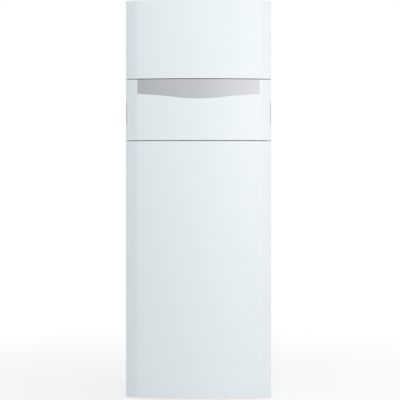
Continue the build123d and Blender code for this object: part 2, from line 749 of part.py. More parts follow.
def grip_room(side):
    """The space that a grip cup takes in the side of the casing."""
    inner = side * (HALF_WIDTH - GRIP_DEPTH)
    outer = side * (HALF_WIDTH + OVERRUN)
    rear = SIDE_FRONT_Y + GRIP_LENGTH
    return block(inner, outer, SIDE_FRONT_Y - OVERRUN, rear, RECESS_BOTTOM, RECESS_TOP)


def finger_grip(side):
    """A moulded finger cup, open to the side."""
    inner = side * (HALF_WIDTH - GRIP_DEPTH)
    outer = side * HALF_WIDTH
    cup = block(inner, outer, SIDE_FRONT_Y, SIDE_FRONT_Y + GRIP_LENGTH, RECESS_BOTTOM, RECESS_TOP)
    cup -= block(
        side * (HALF_WIDTH - GRIP_DEPTH + GRIP_WALL),
        side * (HALF_WIDTH + OVERRUN),
        SIDE_FRONT_Y + GRIP_WALL,
        SIDE_FRONT_Y + GRIP_LENGTH - GRIP_WALL,
        RECESS_BOTTOM + GRIP_WALL,
        RECESS_TOP - GRIP_WALL,
    )
    return cup


def finger_grips():
    return Compound(children=[solid for side in SIDES for solid in finger_grip(side).solids()])


def stud_holes(y0, y1, radius):
    """Round holes in line with every stud of the two front panels."""
    heights = stud_heights(LOWER_CLEARANCE, LOWER_TOP) + stud_heights(UPPER_BOTTOM, HEIGHT)
    holes = [rod_y(side * STUD_X, y0, y1, z, radius) for side in SIDES for z in heights]
    return Part() + holes


def panel_clips():
    """Spring bushes that hold the studs of the front panels."""
    collar_radius = CLIP_RADIUS + CLIP_COLLAR
    clips = stud_holes(SIDE_FRONT_Y - CLIP_COLLAR, SIDE_FRONT_Y - CLIP_COLLAR + CLIP_LENGTH, CLIP_RADIUS)
    clips += stud_holes(SIDE_FRONT_Y - CLIP_COLLAR, SIDE_FRONT_Y, collar_radius)
    return clips - stud_holes(SIDE_FRONT_Y - OVERRUN, SIDE_FRONT_Y + 2 * CLIP_LENGTH, STUD_RADIUS + FIT)


def rear_screw_places():
    """Places of the screws that hold the rear panel to the side panels' flanges."""
    z0 = REAR_SCREW_END_SPACE
    step = (LEDGE_Z - 2 * REAR_SCREW_END_SPACE) / (REAR_SCREW_ROWS - 1)
    x = SIDE_INNER_X - SIDE_FLANGE / 2
    return [(side * x, z0 + n * step) for side in SIDES for n in range(REAR_SCREW_ROWS)]


def rear_screw_holes():
    return Part() + [
        rod_y(x, REAR_PANEL_Y - 2 * SHEET, REAR_Y + OVERRUN, z, SCREW_RADIUS + RUNNING_FIT)
        for x, z in rear_screw_places()
    ]


def case_screws():
    """Pan head screws of the rear panel."""
    screws = []
    for x, z in rear_screw_places():
        screw = rod_y(x, REAR_Y, REAR_Y + SCREW_HEAD, z, SCREW_HEAD_RADIUS)
        screw += rod_y(x, REAR_Y - SCREW_LENGTH, REAR_Y, z, SCREW_RADIUS)
        slot = SCREW_RADIUS / 4
        screw -= block(
            x - SCREW_HEAD_RADIUS,
            x + SCREW_HEAD_RADIUS,
            REAR_Y + SCREW_HEAD / 2,
            REAR_Y + SCREW_HEAD + OVERRUN,
            z - slot,
            z + slot,
        )
        screws.append(screw)
    return Compound(children=[solid for screw in screws for solid in screw.solids()])


def side_panel(side):
    """A side panel with an inward flange at the front and at the rear."""
    outer = side * HALF_WIDTH
    skin = side * SIDE_INNER_X
    flange = side * (SIDE_INNER_X - SIDE_FLANGE)
    panel = block(skin, outer, SIDE_FRONT_Y, REAR_Y, SIDE_CLEARANCE, HEIGHT)
    panel += block(flange, skin, SIDE_FRONT_Y, SIDE_FRONT_Y + SHEET, SIDE_CLEARANCE, HEIGHT)
    panel += block(flange, skin, REAR_PANEL_Y, REAR_Y, SIDE_CLEARANCE, LEDGE_Z)
    panel -= grip_room(side)
    panel -= stud_holes(SIDE_FRONT_Y - OVERRUN, SIDE_FRONT_Y + OVERRUN, CLIP_RADIUS)
    return panel - rear_screw_holes()


def front_post(side):
    """A channel behind the front flange of a side panel, open to the outside."""
    top = COVER_Z - COVER_FLANGE - FIT
    web = side * POST_INNER_X
    web_outer = side * (POST_INNER_X + POST_WALL)
    skin = side * SIDE_INNER_X
    post = block(web, web_outer, POST_FRONT_Y, POST_REAR_Y, BASE_TOP, top)
    post += block(web, skin, POST_FRONT_Y, POST_FRONT_Y + POST_WALL, BASE_TOP, top)
    post += block(web, skin, POST_REAR_Y - POST_WALL, POST_REAR_Y, BASE_TOP, top)
    post -= grip_room(side)
    post -= stud_holes(SIDE_FRONT_Y - OVERRUN, SIDE_FRONT_Y + 2 * OVERRUN, CLIP_RADIUS)
    return post - rod_x(side * (POST_INNER_X - OVERRUN), skin, PIVOT_Y, PIVOT_Z, PIN_RADIUS)


def front_posts():
    return Compound(children=[solid for side in SIDES for solid in front_post(side).solids()])


def rear_panel():
    """The rear panel in front of the side panels' flanges, stiffened by raised beads."""
    y0 = REAR_PANEL_Y - SHEET
    panel = block(-SIDE_INNER_X, SIDE_INNER_X, y0, REAR_PANEL_Y, BASE_BOTTOM, LEDGE_Z)
    half = SIDE_INNER_X - BEAD_INSET
    step = (LEDGE_Z - BASE_TOP) / (BEAD_COUNT + 1)
    for n in range(BEAD_COUNT):
        z = BASE_TOP + (n + 1) * step
        crest = REAR_PANEL_Y + BEAD_HEIGHT
        bead = block(-half, half, REAR_PANEL_Y, crest, z - BEAD_WIDTH / 2, z + BEAD_WIDTH / 2)
        for side in SIDES:
            bead += rod_y(side * half, REAR_PANEL_Y, crest, z, BEAD_WIDTH / 2)
        panel += bead
    panel -= rod_y(GAS_X, y0 - OVERRUN, REAR_Y + OVERRUN, SHELF_TOP + DRAIN_LEVEL, DRAIN_RADIUS + FIT)
    return panel - rear_screw_holes()


def gland_places():
    """Places of the cable glands on the ledge."""
    first = GLAND_X - GLAND_SPACING
    return [(side * x, PIPE_ROW_Y) for side in SIDES for x in (first, GLAND_X)]


def ledge_holes():
    """Everything that passes through the ledge of the top cover."""
    low = LEDGE_Z - OVERRUN
    high = LEDGE_TOP + OVERRUN
    holes = rod_z(0, FLUE_Y, low, high, COLLAR_RADIUS)
    for x in (FLOW_X, HOT_X, GAS_X, COLD_X, RETURN_X):
        holes += rod_z(x, PIPE_ROW_Y, low, high, THREAD_RADIUS + PIPE_HOLE_FIT)
    for x, y in gland_places():
        holes += rod_z(x, y, low, high, GLAND_RADIUS - GLAND_NUT / 2)
    return holes


def top_cover():
    """One bent sheet: the top, a step down behind it, and the ledge of the connections."""
    step = COVER_STEP_Y
    cover = block(-SIDE_INNER_X, SIDE_INNER_X, SIDE_FRONT_Y, step, COVER_Z, HEIGHT)
    cover += block(-SIDE_INNER_X, SIDE_INNER_X, step - SHEET, step, LEDGE_Z, HEIGHT)
    cover += block(-SIDE_INNER_X, SIDE_INNER_X, step - SHEET, REAR_Y, LEDGE_Z, LEDGE_TOP)
    for side in SIDES:
        flange = side * (SIDE_INNER_X - SHEET)
        skin = side * SIDE_INNER_X
        front = SIDE_FRONT_Y + SHEET
        cover += block(flange, skin, front, step - SHEET, COVER_Z - COVER_FLANGE, COVER_Z)
    for side in SIDES:
        corner = side * (SIDE_INNER_X - SIDE_FLANGE)
        edge = side * (SIDE_INNER_X + OVERRUN)
        front = SIDE_FRONT_Y - OVERRUN
        cover -= block(corner, edge, front, SIDE_FRONT_Y + SHEET, COVER_Z - OVERRUN, HEIGHT + OVERRUN)
    return cover - ledge_holes()


def foot_places():
    """Plan places of the four levelling feet, by name."""
    x = HALF_WIDTH - FOOT_INSET_X
    front = SIDE_FRONT_Y + FOOT_INSET_Y
    rear = REAR_Y - FOOT_INSET_Y
    return {
        "front_left": (-x, front),
        "front_right": (x, front),
        "rear_left": (-x, rear),
        "rear_right": (x, rear),
    }


def base_frame():
    """A pressed tray upside down, with cross ribs and a threaded boss over each foot."""
    front = SIDE_FRONT_Y + SHEET
    rear = REAR_PANEL_Y - SHEET
    frame = block(-SIDE_INNER_X, SIDE_INNER_X, front, rear, BASE_BOTTOM, BASE_TOP)
    span = (rear - front - BASE_WALL) / (BASE_RIBS + 1)
    for n in range(BASE_RIBS + 1):
        y0 = front + BASE_WALL + n * span
        y1 = y0 + span - BASE_WALL
        half = SIDE_INNER_X - BASE_WALL
        frame -= block(-half, half, y0, y1, BASE_BOTTOM - OVERRUN, BASE_TOP - BASE_WALL)
    for x, y in foot_places().values():
        frame += rod_z(x, y, BASE_BOTTOM, BASE_TOP - BASE_WALL, FOOT_BOSS_RADIUS)
    for x, y in foot_places().values():
        frame -= rod_z(x, y, BASE_BOTTOM - OVERRUN, BASE_TOP + OVERRUN, FOOT_STUD_RADIUS + RUNNING_FIT)
    for side in SIDES:
        flange = side * (SIDE_INNER_X - SIDE_FLANGE)
        frame -= block(flange, side * (SIDE_INNER_X + OVERRUN), rear, REAR_Y, 0, BASE_TOP + OVERRUN)
    return frame


def levelling_foot(x, y):
    """A round foot with a tapered top, a hexagon and a threaded stud."""
    foot = rod_z(x, y, 0, FOOT_DISC, FOOT_RADIUS)
    foot += Pos(x, y, FOOT_DISC + FOOT_TAPER / 2) * Cone(FOOT_RADIUS, FOOT_NECK_RADIUS, FOOT_TAPER)
    hex_z = FOOT_DISC + FOOT_TAPER
    foot += hexagon_z(x, y, hex_z, hex_z + FOOT_HEX_HEIGHT, FOOT_HEX_RADIUS)
    return foot + rod_z(x, y, hex_z, BASE_TOP - FOOT_STUD_SPARE, FOOT_STUD_RADIUS)


def mid_shelf():
    """The shelf over the cylinder, with a lip at its front and holes for the nozzles."""
    half = SIDE_INNER_X
    shelf = block(-half, half, SHELF_FRONT_Y, REAR_PANEL_Y - SHEET, SHELF_Z, SHELF_TOP)
    lip_y = SHELF_FRONT_Y + SHELF_SHEET
    shelf += block(-half, half, SHELF_FRONT_Y, lip_y, SHELF_TOP, SHELF_TOP + SHELF_LIP)
    for x, y in nozzle_places():
        shelf -= rod_z(x, y, SHELF_Z - OVERRUN, SHELF_TOP + OVERRUN, NOZZLE_RADIUS + PIPE_HOLE_FIT)
    return shelf


def nozzle_places():
    """Plan places of the cylinder's two upright nozzles."""
    return [(COLD_X, CHARGING_PUMP_Y), (PLATE_X + PLATE_WIDTH / 2, TANK_Y)]


def vessel_profile(radius, z0, z1, dome):
    """Half section of an upright vessel with domed ends."""
    rise = DOME_MIDDLE_SHARE * dome
    bottom = ThreePointArc((0, z0), (radius / 2, z0 + rise), (radius, z0 + dome))
    side = Line((radius, z0 + dome), (radius, z1 - dome))
    top = ThreePointArc((radius, z1 - dome), (radius / 2, z1 - rise), (0, z1))
    axis = Line((0, z1), (0, z0))
    return make_face(bottom + side + top + axis)


def vessel_solid(radius, z0, z1, dome):
    """An upright domed vessel turned about Z at the cylinder's place."""
    return Pos(0, TANK_Y, 0) * revolve(Plane.XZ * vessel_profile(radius, z0, z1, dome), Axis.Z)


def tank_legs(radius, z0):
    """The legs under the cylinder."""
    legs = []
    for n in range(TANK_LEGS):
        turn = 2 * math.pi * n / TANK_LEGS + math.pi / 2
        x = TANK_LEG_CIRCLE * math.cos(turn)
        y = TANK_Y + TANK_LEG_CIRCLE * math.sin(turn)
        legs.append(rod_z(x, y, z0, TANK_BOTTOM + TANK_DOME, radius))
    return Part() + legs


def flange_rod(y0, y1, radius):
    """A rod on the axis of the cylinder's service flange."""
    return rod_y(0, y0, y1, TANK_BOTTOM + FLANGE_RISE, radius)


def hot_water_cylinder():
    """The enamelled cylinder on its legs, with its nozzles and the neck of its flange."""
    tank = vessel_solid(TANK_RADIUS, TANK_BOTTOM, TANK_TOP, TANK_DOME)
    tank += tank_legs(TANK_LEG_RADIUS, BASE_TOP)
    for x, y in nozzle_places():
        tank += rod_z(x, y, TANK_TOP - TANK_DOME, SHELF_TOP, NOZZLE_RADIUS)
    tank += flange_rod(FLANGE_FRONT_Y, TANK_Y - TANK_RADIUS + TANK_DOME, FLANGE_RADIUS + FLANGE_NECK_WALL)
    tank += flange_rod(FLANGE_FRONT_Y, FLANGE_FRONT_Y + FLANGE_COVER, FLANGE_RADIUS + FLANGE_RIM)
    tank -= vessel_solid(
        TANK_RADIUS - TANK_WALL, TANK_BOTTOM + TANK_WALL, TANK_TOP - TANK_WALL, TANK_DOME
    )
    tank -= flange_rod(FLANGE_FRONT_Y - OVERRUN, TANK_Y - TANK_RADIUS + TANK_DOME, FLANGE_RADIUS)
    for x, y in nozzle_places():
        tank -= rod_z(x, y, TANK_TOP - TANK_DOME, SHELF_TOP + OVERRUN, NOZZLE_RADIUS - NOZZLE_WALL)
    return tank - rod_z(0, TANK_Y, TANK_TOP - TANK_DOME, TANK_TOP + OVERRUN, ANODE_RADIUS)


def cylinder_jacket():
    """The rigid foam jacket round the cylinder."""
    jacket = rod_z(0, TANK_Y, JACKET_BOTTOM, JACKET_TOP, JACKET_RADIUS)
    jacket -= vessel_solid(TANK_RADIUS + FIT, TANK_BOTTOM - FIT, TANK_TOP + FIT, TANK_DOME)
    jacket -= tank_legs(TANK_LEG_RADIUS + FIT, BASE_TOP)
    for x, y in nozzle_places():
        jacket -= rod_z(x, y, TANK_TOP - TANK_DOME, JACKET_TOP + OVERRUN, NOZZLE_RADIUS + FIT)
    neck = FLANGE_RADIUS + FLANGE_NECK_WALL + FIT
    jacket -= flange_rod(TANK_Y - JACKET_RADIUS - OVERRUN, TANK_Y, neck)
    return jacket - rod_z(0, TANK_Y, TANK_TOP - TANK_DOME, JACKET_TOP + OVERRUN, ANODE_HEAD_RADIUS + FIT)


def service_flange_cover():
    """The round cover of the service flange with its bolts."""
    back = FLANGE_FRONT_Y
    cover = flange_rod(back - FLANGE_COVER, back, FLANGE_RADIUS + FLANGE_RIM)
    circle = FLANGE_RADIUS + FLANGE_RIM / 2
    for n in range(FLANGE_BOLTS):
        turn = 2 * math.pi * n / FLANGE_BOLTS
        x = circle * math.cos(turn)
        z = TANK_BOTTOM + FLANGE_RISE + circle * math.sin(turn)
        front = back - FLANGE_COVER
        cover += rod_y(x, front - FLANGE_BOLT_HEAD, front, z, FLANGE_BOLT_RADIUS)
    return cover


def anode_rod():
    """The sacrificial rod that hangs in the cylinder from a hexagonal plug."""
    rod = rod_z(0, TANK_Y, TANK_TOP - ANODE_LENGTH, TANK_TOP, ANODE_RADIUS - RUNNING_FIT)
    return rod + hexagon_z(0, TANK_Y, TANK_TOP, TANK_TOP + ANODE_HEAD, ANODE_HEAD_RADIUS - FIT)


def threaded_end(x):
    """The threaded end of a pipe at the ledge."""
    top = HEIGHT - FIT
    return rod_z(x, PIPE_ROW_Y, top - THREAD_LENGTH, top, THREAD_RADIUS)


def connection_pipe(points, radius, wall, bend):
    """A pipe that ends in a thread above the ledge."""
    x = points[0][0]
    pipe = bent_rod(points, radius, bend) + threaded_end(x)
    return pipe - bent_rod(points, radius - wall, bend)


def pipe_start(x):
    return (x, PIPE_ROW_Y, HEIGHT - FIT)


def heating_flow_pipe():
    """From the drum's left side, past the expansion vessel, up to the ledge."""
    z = DRUM_Z + RISER_RISE
    points = [
        pipe_start(FLOW_X),
        (FLOW_X, PIPE_ROW_Y, z),
        (FLOW_X, DRUM_Y, z),
        (DRUM_X - DRUM_RADIUS, DRUM_Y, z),
    ]
    return connection_pipe(points, PIPE_RADIUS, PIPE_WALL, PIPE_BEND)


def heating_return_pipe():
    """From the ledge down to the rear of the heating pump."""
    jog = PIPE_ROW_Y - 3 * PIPE_BEND
    points = [
        pipe_start(RETURN_X),
        (RETURN_X, PIPE_ROW_Y, LEVEL_Z),
        (RETURN_X, jog, LEVEL_Z),
        (HEATING_PUMP_X, jog, LEVEL_Z),
        (HEATING_PUMP_X, HEATING_PUMP_Y + PUMP_RADIUS, LEVEL_Z),
    ]
    return connection_pipe(points, PIPE_RADIUS, PIPE_WALL, PIPE_BEND)


def hot_water_pipe():
    """From the rear of the plate heat exchanger up to the ledge."""
    points = [
        pipe_start(HOT_X),
        (HOT_X, PIPE_ROW_Y, LEVEL_Z),
        (HOT_X, PLATE_REAR_Y, LEVEL_Z),
    ]
    return connection_pipe(points, PIPE_RADIUS, PIPE_WALL, PIPE_BEND)


def cold_water_pipe():
    """From the ledge down to the rear of the charging pump."""
    points = [
        pipe_start(COLD_X),
        (COLD_X, PIPE_ROW_Y, LEVEL_Z),
        (COLD_X, CHARGING_PUMP_Y + PUMP_RADIUS, LEVEL_Z),
    ]
    return connection_pipe(points, PIPE_RADIUS, PIPE_WALL, PIPE_BEND)


def gas_pipe():
    """From the ledge, across behind the flue and along the right side, down into the valve."""
    points = [
        pipe_start(GAS_X),
        (GAS_X, PIPE_ROW_Y, GAS_Z),
        (GAS_X, PIPE_ROW_Y - GAS_STEP, GAS_Z),
        (VALVE_X, PIPE_ROW_Y - GAS_STEP, GAS_Z),
        (VALVE_X, VALVE_Y, GAS_Z),
        (VALVE_X, VALVE_Y, VALVE_TOP),
    ]
    return connection_pipe(points, GAS_RADIUS, PIPE_WALL, GAS_BEND)


def drum_rod(z0, z1, radius):
    """An upright rod on the axis of the heat exchanger."""
    return rod_z(DRUM_X, DRUM_Y, z0, z1, radius)


def heat_exchanger():
    """The drum of the heat exchanger, open at both ends."""
    drum = drum_rod(DRUM_Z, DRUM_TOP, DRUM_RADIUS)
    for z in (DRUM_Z + DRUM_HEIGHT / 3, DRUM_Z + 2 * DRUM_HEIGHT / 3):
        drum += drum_rod(z, z + 2 * DRUM_WALL, DRUM_RADIUS + DRUM_WALL / 2)
    return drum - drum_rod(DRUM_Z - OVERRUN, DRUM_TOP + OVERRUN, DRUM_RADIUS - DRUM_WALL)


def exchanger_coil():
    """The stack of flat water turns inside the drum."""
    z0 = DRUM_Z
    z1 = DRUM_TOP - COIL_END_SPACE
    stack = drum_rod(z0, z1, COIL_RADIUS)
    pitch = (z1 - z0) / COIL_TURNS
    for n in range(1, COIL_TURNS):
        z = z0 + n * pitch
        cut = drum_rod(z - pitch / 8, z + pitch / 8, COIL_RADIUS + OVERRUN)
        stack -= cut - drum_rod(z - pitch, z + pitch, COIL_RADIUS - COIL_GROOVE)
    for n in range(COIL_TURNS):
        z = z0 + (n + 0.5) * pitch
        water = drum_rod(z - pitch / 4, z + pitch / 4, COIL_RADIUS - COIL_GROOVE)
        stack -= water - drum_rod(z - pitch, z + pitch, COIL_BORE_RADIUS + COIL_WALL)
    return stack - drum_rod(z0 - OVERRUN, z1 + OVERRUN, COIL_BORE_RADIUS)


def burner_door():
    """The door on top of the drum, with its bolts and the burner's opening."""
    door = drum_rod(DRUM_TOP, DOOR_TOP, DRUM_RADIUS)
    circle = DRUM_RADIUS - 2 * DOOR_BOLT_RADIUS
    for n in range(DOOR_BOLTS):
        turn = 2 * math.pi * (n + 0.5) / DOOR_BOLTS
        x = DRUM_X + circle * math.cos(turn)
        y = DRUM_Y + circle * math.sin(turn)
        door += hexagon_z(x, y, DOOR_TOP, DOOR_TOP + DOOR_BOLT_HEAD, DOOR_BOLT_RADIUS)
    neck_x = DRUM_X - FAN_NECK_OFFSET
    high = DOOR_TOP + OVERRUN
    door -= rod_z(neck_x, DRUM_Y, DRUM_TOP, high, FAN_NECK_RADIUS - FAN_WALL)
    door -= drum_rod(DRUM_TOP - OVERRUN, DRUM_TOP + DOOR_THICKNESS / 2, BURNER_RADIUS - BURNER_WALL)
    electrode_y = DRUM_Y - ELECTRODE_OFFSET
    return door - rod_z(DRUM_X, electrode_y, DRUM_TOP - OVERRUN, high, ELECTRODE_RADIUS + FIT)


def burner_tube():
    """The perforated burner that hangs from the door into the coil."""
    bottom = DRUM_TOP - BURNER_LENGTH
    tube = drum_rod(bottom, DRUM_TOP, BURNER_RADIUS)
    tube -= drum_rod(bottom + BURNER_WALL, DRUM_TOP + OVERRUN, BURNER_RADIUS - BURNER_WALL)
    step = BURNER_LENGTH / (BURNER_HOLE_ROWS + 1)
    for row in range(BURNER_HOLE_ROWS):
        z = DRUM_TOP - (row + 1) * step
        for n in range(BURNER_HOLES // 2):
            turn = 360 * (n + 0.5 * (row % 2)) / BURNER_HOLES
            place = Pos(DRUM_X, DRUM_Y, z) * Rot(0, 0, turn) * Rot(90, 0, 0)
            tube -= place * Cylinder(BURNER_HOLE_RADIUS, 3 * BURNER_RADIUS)
    return tube


def ignition_electrode():
    """The electrode beside the burner, with its ceramic body on the door."""
    y = DRUM_Y - ELECTRODE_OFFSET
    top = DOOR_TOP + ELECTRODE_BODY_HEIGHT
    pin = rod_z(DRUM_X, y, DRUM_TOP - ELECTRODE_LENGTH, top, ELECTRODE_RADIUS)
    return pin + rod_z(DRUM_X, y, DOOR_TOP, top, ELECTRODE_BODY_RADIUS)


def condensate_sump():
    """The sump under the drum, with its arm to the flue, its spout and its legs."""
    half = SUMP_ARM_WIDTH / 2
    arm_end = FLUE_Y + half - DRUM_Y / 2
    outer = drum_rod(SUMP_Z, DRUM_Z, SUMP_RADIUS)
    outer += block(-half, half + DRUM_X, DRUM_Y, arm_end, SUMP_Z, DRUM_Z)
    inner = drum_rod(SUMP_Z + SUMP_WALL, DRUM_Z + OVERRUN, COIL_RADIUS - SUMP_WALL)
    inner += block(
        SUMP_WALL - half,
        half + DRUM_X - SUMP_WALL,
        DRUM_Y,
        arm_end - SUMP_WALL,
        SUMP_Z + SUMP_WALL,
        DRUM_Z - SUMP_WALL,
    )
    sump = outer - inner
    sump -= rod_z(0, FLUE_Y, SUMP_Z + SUMP_HEIGHT / 2, DRUM_Z + OVERRUN, FLUE_RADIUS + FLUE_WALL)
    for angle in SUMP_LEG_ANGLES:
        turn = math.radians(angle)
        reach = SUMP_RADIUS - 2 * SUMP_LEG_RADIUS
        x = DRUM_X + reach * math.cos(turn)
        y = DRUM_Y + reach * math.sin(turn)
        sump += rod_z(x, y, SHELF_TOP, SUMP_Z + SUMP_WALL, SUMP_LEG_RADIUS)
    sump += rod_z(0, SIPHON_Y, SHELF_TOP + SIPHON_HEIGHT, SUMP_Z + SUMP_WALL, SPOUT_RADIUS)
    return sump - rod_z(0, SIPHON_Y, SHELF_TOP, DRUM_Z - SUMP_HEIGHT / 2, SPOUT_RADIUS - SUMP_WALL)


def fan_rod(z0, z1, radius):
    """An upright rod on the axis of the fan."""
    return rod_z(FAN_X, DRUM_Y, z0, z1, radius)


def fan_housing():
    """The fan housing, its chamber, its neck down to the door and its side inlet."""
    housing = fan_rod(FAN_Z, FAN_TOP, FAN_RADIUS)
    neck_x = DRUM_X - FAN_NECK_OFFSET
    housing += rod_z(neck_x, DRUM_Y, DOOR_TOP, FAN_Z, FAN_NECK_RADIUS)
    housing -= fan_rod(FAN_Z + FAN_WALL, FAN_TOP - FAN_WALL, FAN_RADIUS - FAN_WALL)
    housing -= rod_z(neck_x, DRUM_Y, DOOR_TOP - OVERRUN, FAN_Z + 2 * FAN_WALL, FAN_NECK_RADIUS - FAN_WALL)
    housing -= fan_rod(FAN_TOP - 2 * FAN_WALL, FAN_TOP + OVERRUN, SHAFT_RADIUS + FIT)
    return housing - rod_x(FAN_X, FAN_X + FAN_RADIUS + OVERRUN, DRUM_Y, DUCT_Z, DUCT_RADIUS - DUCT_WALL)


def fan_impeller():
    """The bladed wheel and its shaft."""
    z0 = FAN_Z + FAN_WALL + IMPELLER_EDGE_SPACE
    z1 = FAN_TOP - FAN_WALL - IMPELLER_EDGE_SPACE
    wheel = fan_rod(z1 - IMPELLER_DISC, z1, IMPELLER_RADIUS)
    wheel += fan_rod(z0, z1, IMPELLER_HUB_RADIUS)
    wheel += fan_rod(z1, FAN_TOP + SHAFT_LENGTH, SHAFT_RADIUS)
    root = IMPELLER_HUB_RADIUS - BLADE_THICKNESS
    blade = block(root, IMPELLER_RADIUS - BLADE_THICKNESS, 0, BLADE_THICKNESS, z0, z1)
    for n in range(IMPELLER_BLADES):
        wheel += Pos(FAN_X, DRUM_Y, 0) * Rot(0, 0, 360 * n / IMPELLER_BLADES) * blade
    return wheel


def fan_motor():
    """The motor on the fan housing, with a bore for the shaft."""
    motor = fan_rod(FAN_TOP, FAN_TOP + MOTOR_HEIGHT, MOTOR_RADIUS)
    motor = fillet(motor.edges().group_by(Axis.Z)[-1], MOTOR_RADIUS / 8)
    return motor - fan_rod(FAN_TOP - OVERRUN, FAN_TOP + SHAFT_LENGTH + FIT, SHAFT_RADIUS + RUNNING_FIT)


def air_silencer():
    """The air silencer with its mouth, its lugs and its duct to the fan."""
    x0 = SILENCER_X
    x1 = SILENCER_X + SILENCER_WIDTH
    y0 = DRUM_Y - SILENCER_DEPTH / 2
    y1 = DRUM_Y + SILENCER_DEPTH / 2
    z0 = SILENCER_TOP - SILENCER_HEIGHT
    wall = SILENCER_WALL
    body = block(x0, x1, y0, y1, z0, SILENCER_TOP)
    middle = (x0 + x1) / 2
    points = [
        (middle, DRUM_Y, SILENCER_TOP - wall),
        (middle, DRUM_Y, DUCT_Z),
        (FAN_X + FAN_RADIUS + FIT, DRUM_Y, DUCT_Z),
    ]
    body += bent_rod(points, DUCT_RADIUS, DUCT_BEND)
    body -= block(x0 + wall, x1 - wall, y0 + wall, y1 - wall, z0 + wall, SILENCER_TOP - wall)
    body -= bent_rod(points, DUCT_RADIUS - DUCT_WALL, DUCT_BEND)
    mouth_z = z0 + SILENCER_HEIGHT / 2
    body -= block(
        middle - SILENCER_WIDTH / 4,
        middle + SILENCER_WIDTH / 4,
        y0 - OVERRUN,
        y0 + wall,
        mouth_z - SILENCER_HEIGHT / 4,
        mouth_z + SILENCER_HEIGHT / 4,
    )
    lug = SILENCER_HEIGHT / 8
    for z in (z0 + 2 * lug, z0 + 4 * lug):
        body += block(x1 - wall / 2, SIDE_INNER_X, y1 - 4 * wall, y1 - 2 * wall, z, z + lug)
    return body


def gas_valve():
    """The gas valve with its two coils, its bracket and its injector tube."""
    x0 = VALVE_LEFT_X
    x1 = VALVE_LEFT_X + VALVE_WIDTH
    y0 = VALVE_Y - VALVE_DEPTH / 2
    y1 = VALVE_Y + VALVE_DEPTH / 2
    valve = block(x0, x1, y0, y1, VALVE_BOTTOM, VALVE_TOP)
    for z in (VALVE_BOTTOM + VALVE_HEIGHT / 4, VALVE_BOTTOM + 3 * VALVE_HEIGHT / 4):
        valve += rod_y(VALVE_X, y0 - VALVE_COIL_HEIGHT, y0, z, VALVE_COIL_RADIUS)
    valve += block(x1, SIDE_INNER_X, VALVE_Y, y1, VALVE_BOTTOM, VALVE_BOTTOM + VALVE_HEIGHT / 3)
    points = [
        (x0 + INJECTOR_RADIUS, VALVE_Y, INJECTOR_Z),
        (INJECTOR_X, VALVE_Y, INJECTOR_Z),
        (INJECTOR_X, VALVE_Y, DUCT_Z),
        (INJECTOR_X, DRUM_Y - DUCT_RADIUS, DUCT_Z),
    ]
    return valve + bent_rod(points, INJECTOR_RADIUS, INJECTOR_BEND)


def expansion_vessel():
    """A flat round vessel with domed faces, a welded rim and a bracket to the side panel."""
    x0 = -SIDE_INNER_X + VESSEL_SIDE_GAP
    x1 = x0 + VESSEL_WIDTH
    middle = (x0 + x1) / 2
    z = SHELF_TOP + VESSEL_RISE
    half = VESSEL_WIDTH / 2
    bow = VESSEL_WIDTH / 4
    shell = VESSEL_RADIUS - VESSEL_RIM
    profile = make_face(
        Line((0, -half), (0, half))
        + ThreePointArc((0, half), (VESSEL_RADIUS / 2, half - bow / 4), (shell, half - bow))
        + Line((shell, half - bow), (shell, bow - half))
        + ThreePointArc((shell, bow - half), (VESSEL_RADIUS / 2, bow / 4 - half), (0, -half))
    )
    body = revolve(Plane.XZ * profile, Axis.Z)
    vessel = Pos(middle, VESSEL_Y, z) * Rot(0, 90, 0) * body
    vessel += rod_x(middle - VESSEL_RIM, middle + VESSEL_RIM, VESSEL_Y, z, VESSEL_RADIUS)
    room = VESSEL_RADIUS - VESSEL_RIM - VESSEL_WALL
    reach = half - bow - VESSEL_WALL
    vessel -= rod_x(middle - reach, middle + reach, VESSEL_Y, z, room)
    b = VESSEL_BRACKET / 2
    vessel += block(-SIDE_INNER_X, x0 + VESSEL_RIM, VESSEL_Y - b, VESSEL_Y + b, z - b, z + b)
    return vessel


def plate_heat_exchanger():
    """A brazed stack of plates."""
    x0 = PLATE_X
    x1 = PLATE_RIGHT_X
    z1 = SHELF_TOP + PLATE_HEIGHT
    stack = block(x0, x1, PLATE_Y, PLATE_REAR_Y, SHELF_TOP, z1)
    pitch = PLATE_WIDTH / PLATE_COUNT
    for n in range(1, PLATE_COUNT):
        x = x0 + n * pitch
        groove = pitch / 8
        y0 = PLATE_Y - OVERRUN
        y1 = PLATE_REAR_Y + OVERRUN
        stack -= block(x - groove, x + groove, y0, y1, z1 - PLATE_GROOVE, z1 + OVERRUN)
    for n in range(PLATE_COUNT):
        x = x0 + (n + 0.5) * pitch
        channel = block(
            x - pitch / 4,
            x + pitch / 4,
            PLATE_Y + PLATE_BORDER,
            PLATE_REAR_Y - PLATE_BORDER,
            SHELF_TOP + PLATE_BORDER,
            z1 - PLATE_BORDER,
        )
        stack -= channel
    return stack


def pump(x, y):
    """A circulation pump: foot, round housing and a motor can with a stepped cap."""
    body = rod_z(x, y, SHELF_TOP, PUMP_Z, PUMP_FOOT_RADIUS)
    body += rod_z(x, y, PUMP_Z, PUMP_TOP, PUMP_RADIUS)
    motor_top = PUMP_TOP + PUMP_MOTOR_HEIGHT
    body += rod_z(x, y, PUMP_TOP, motor_top, PUMP_MOTOR_RADIUS)
    return body


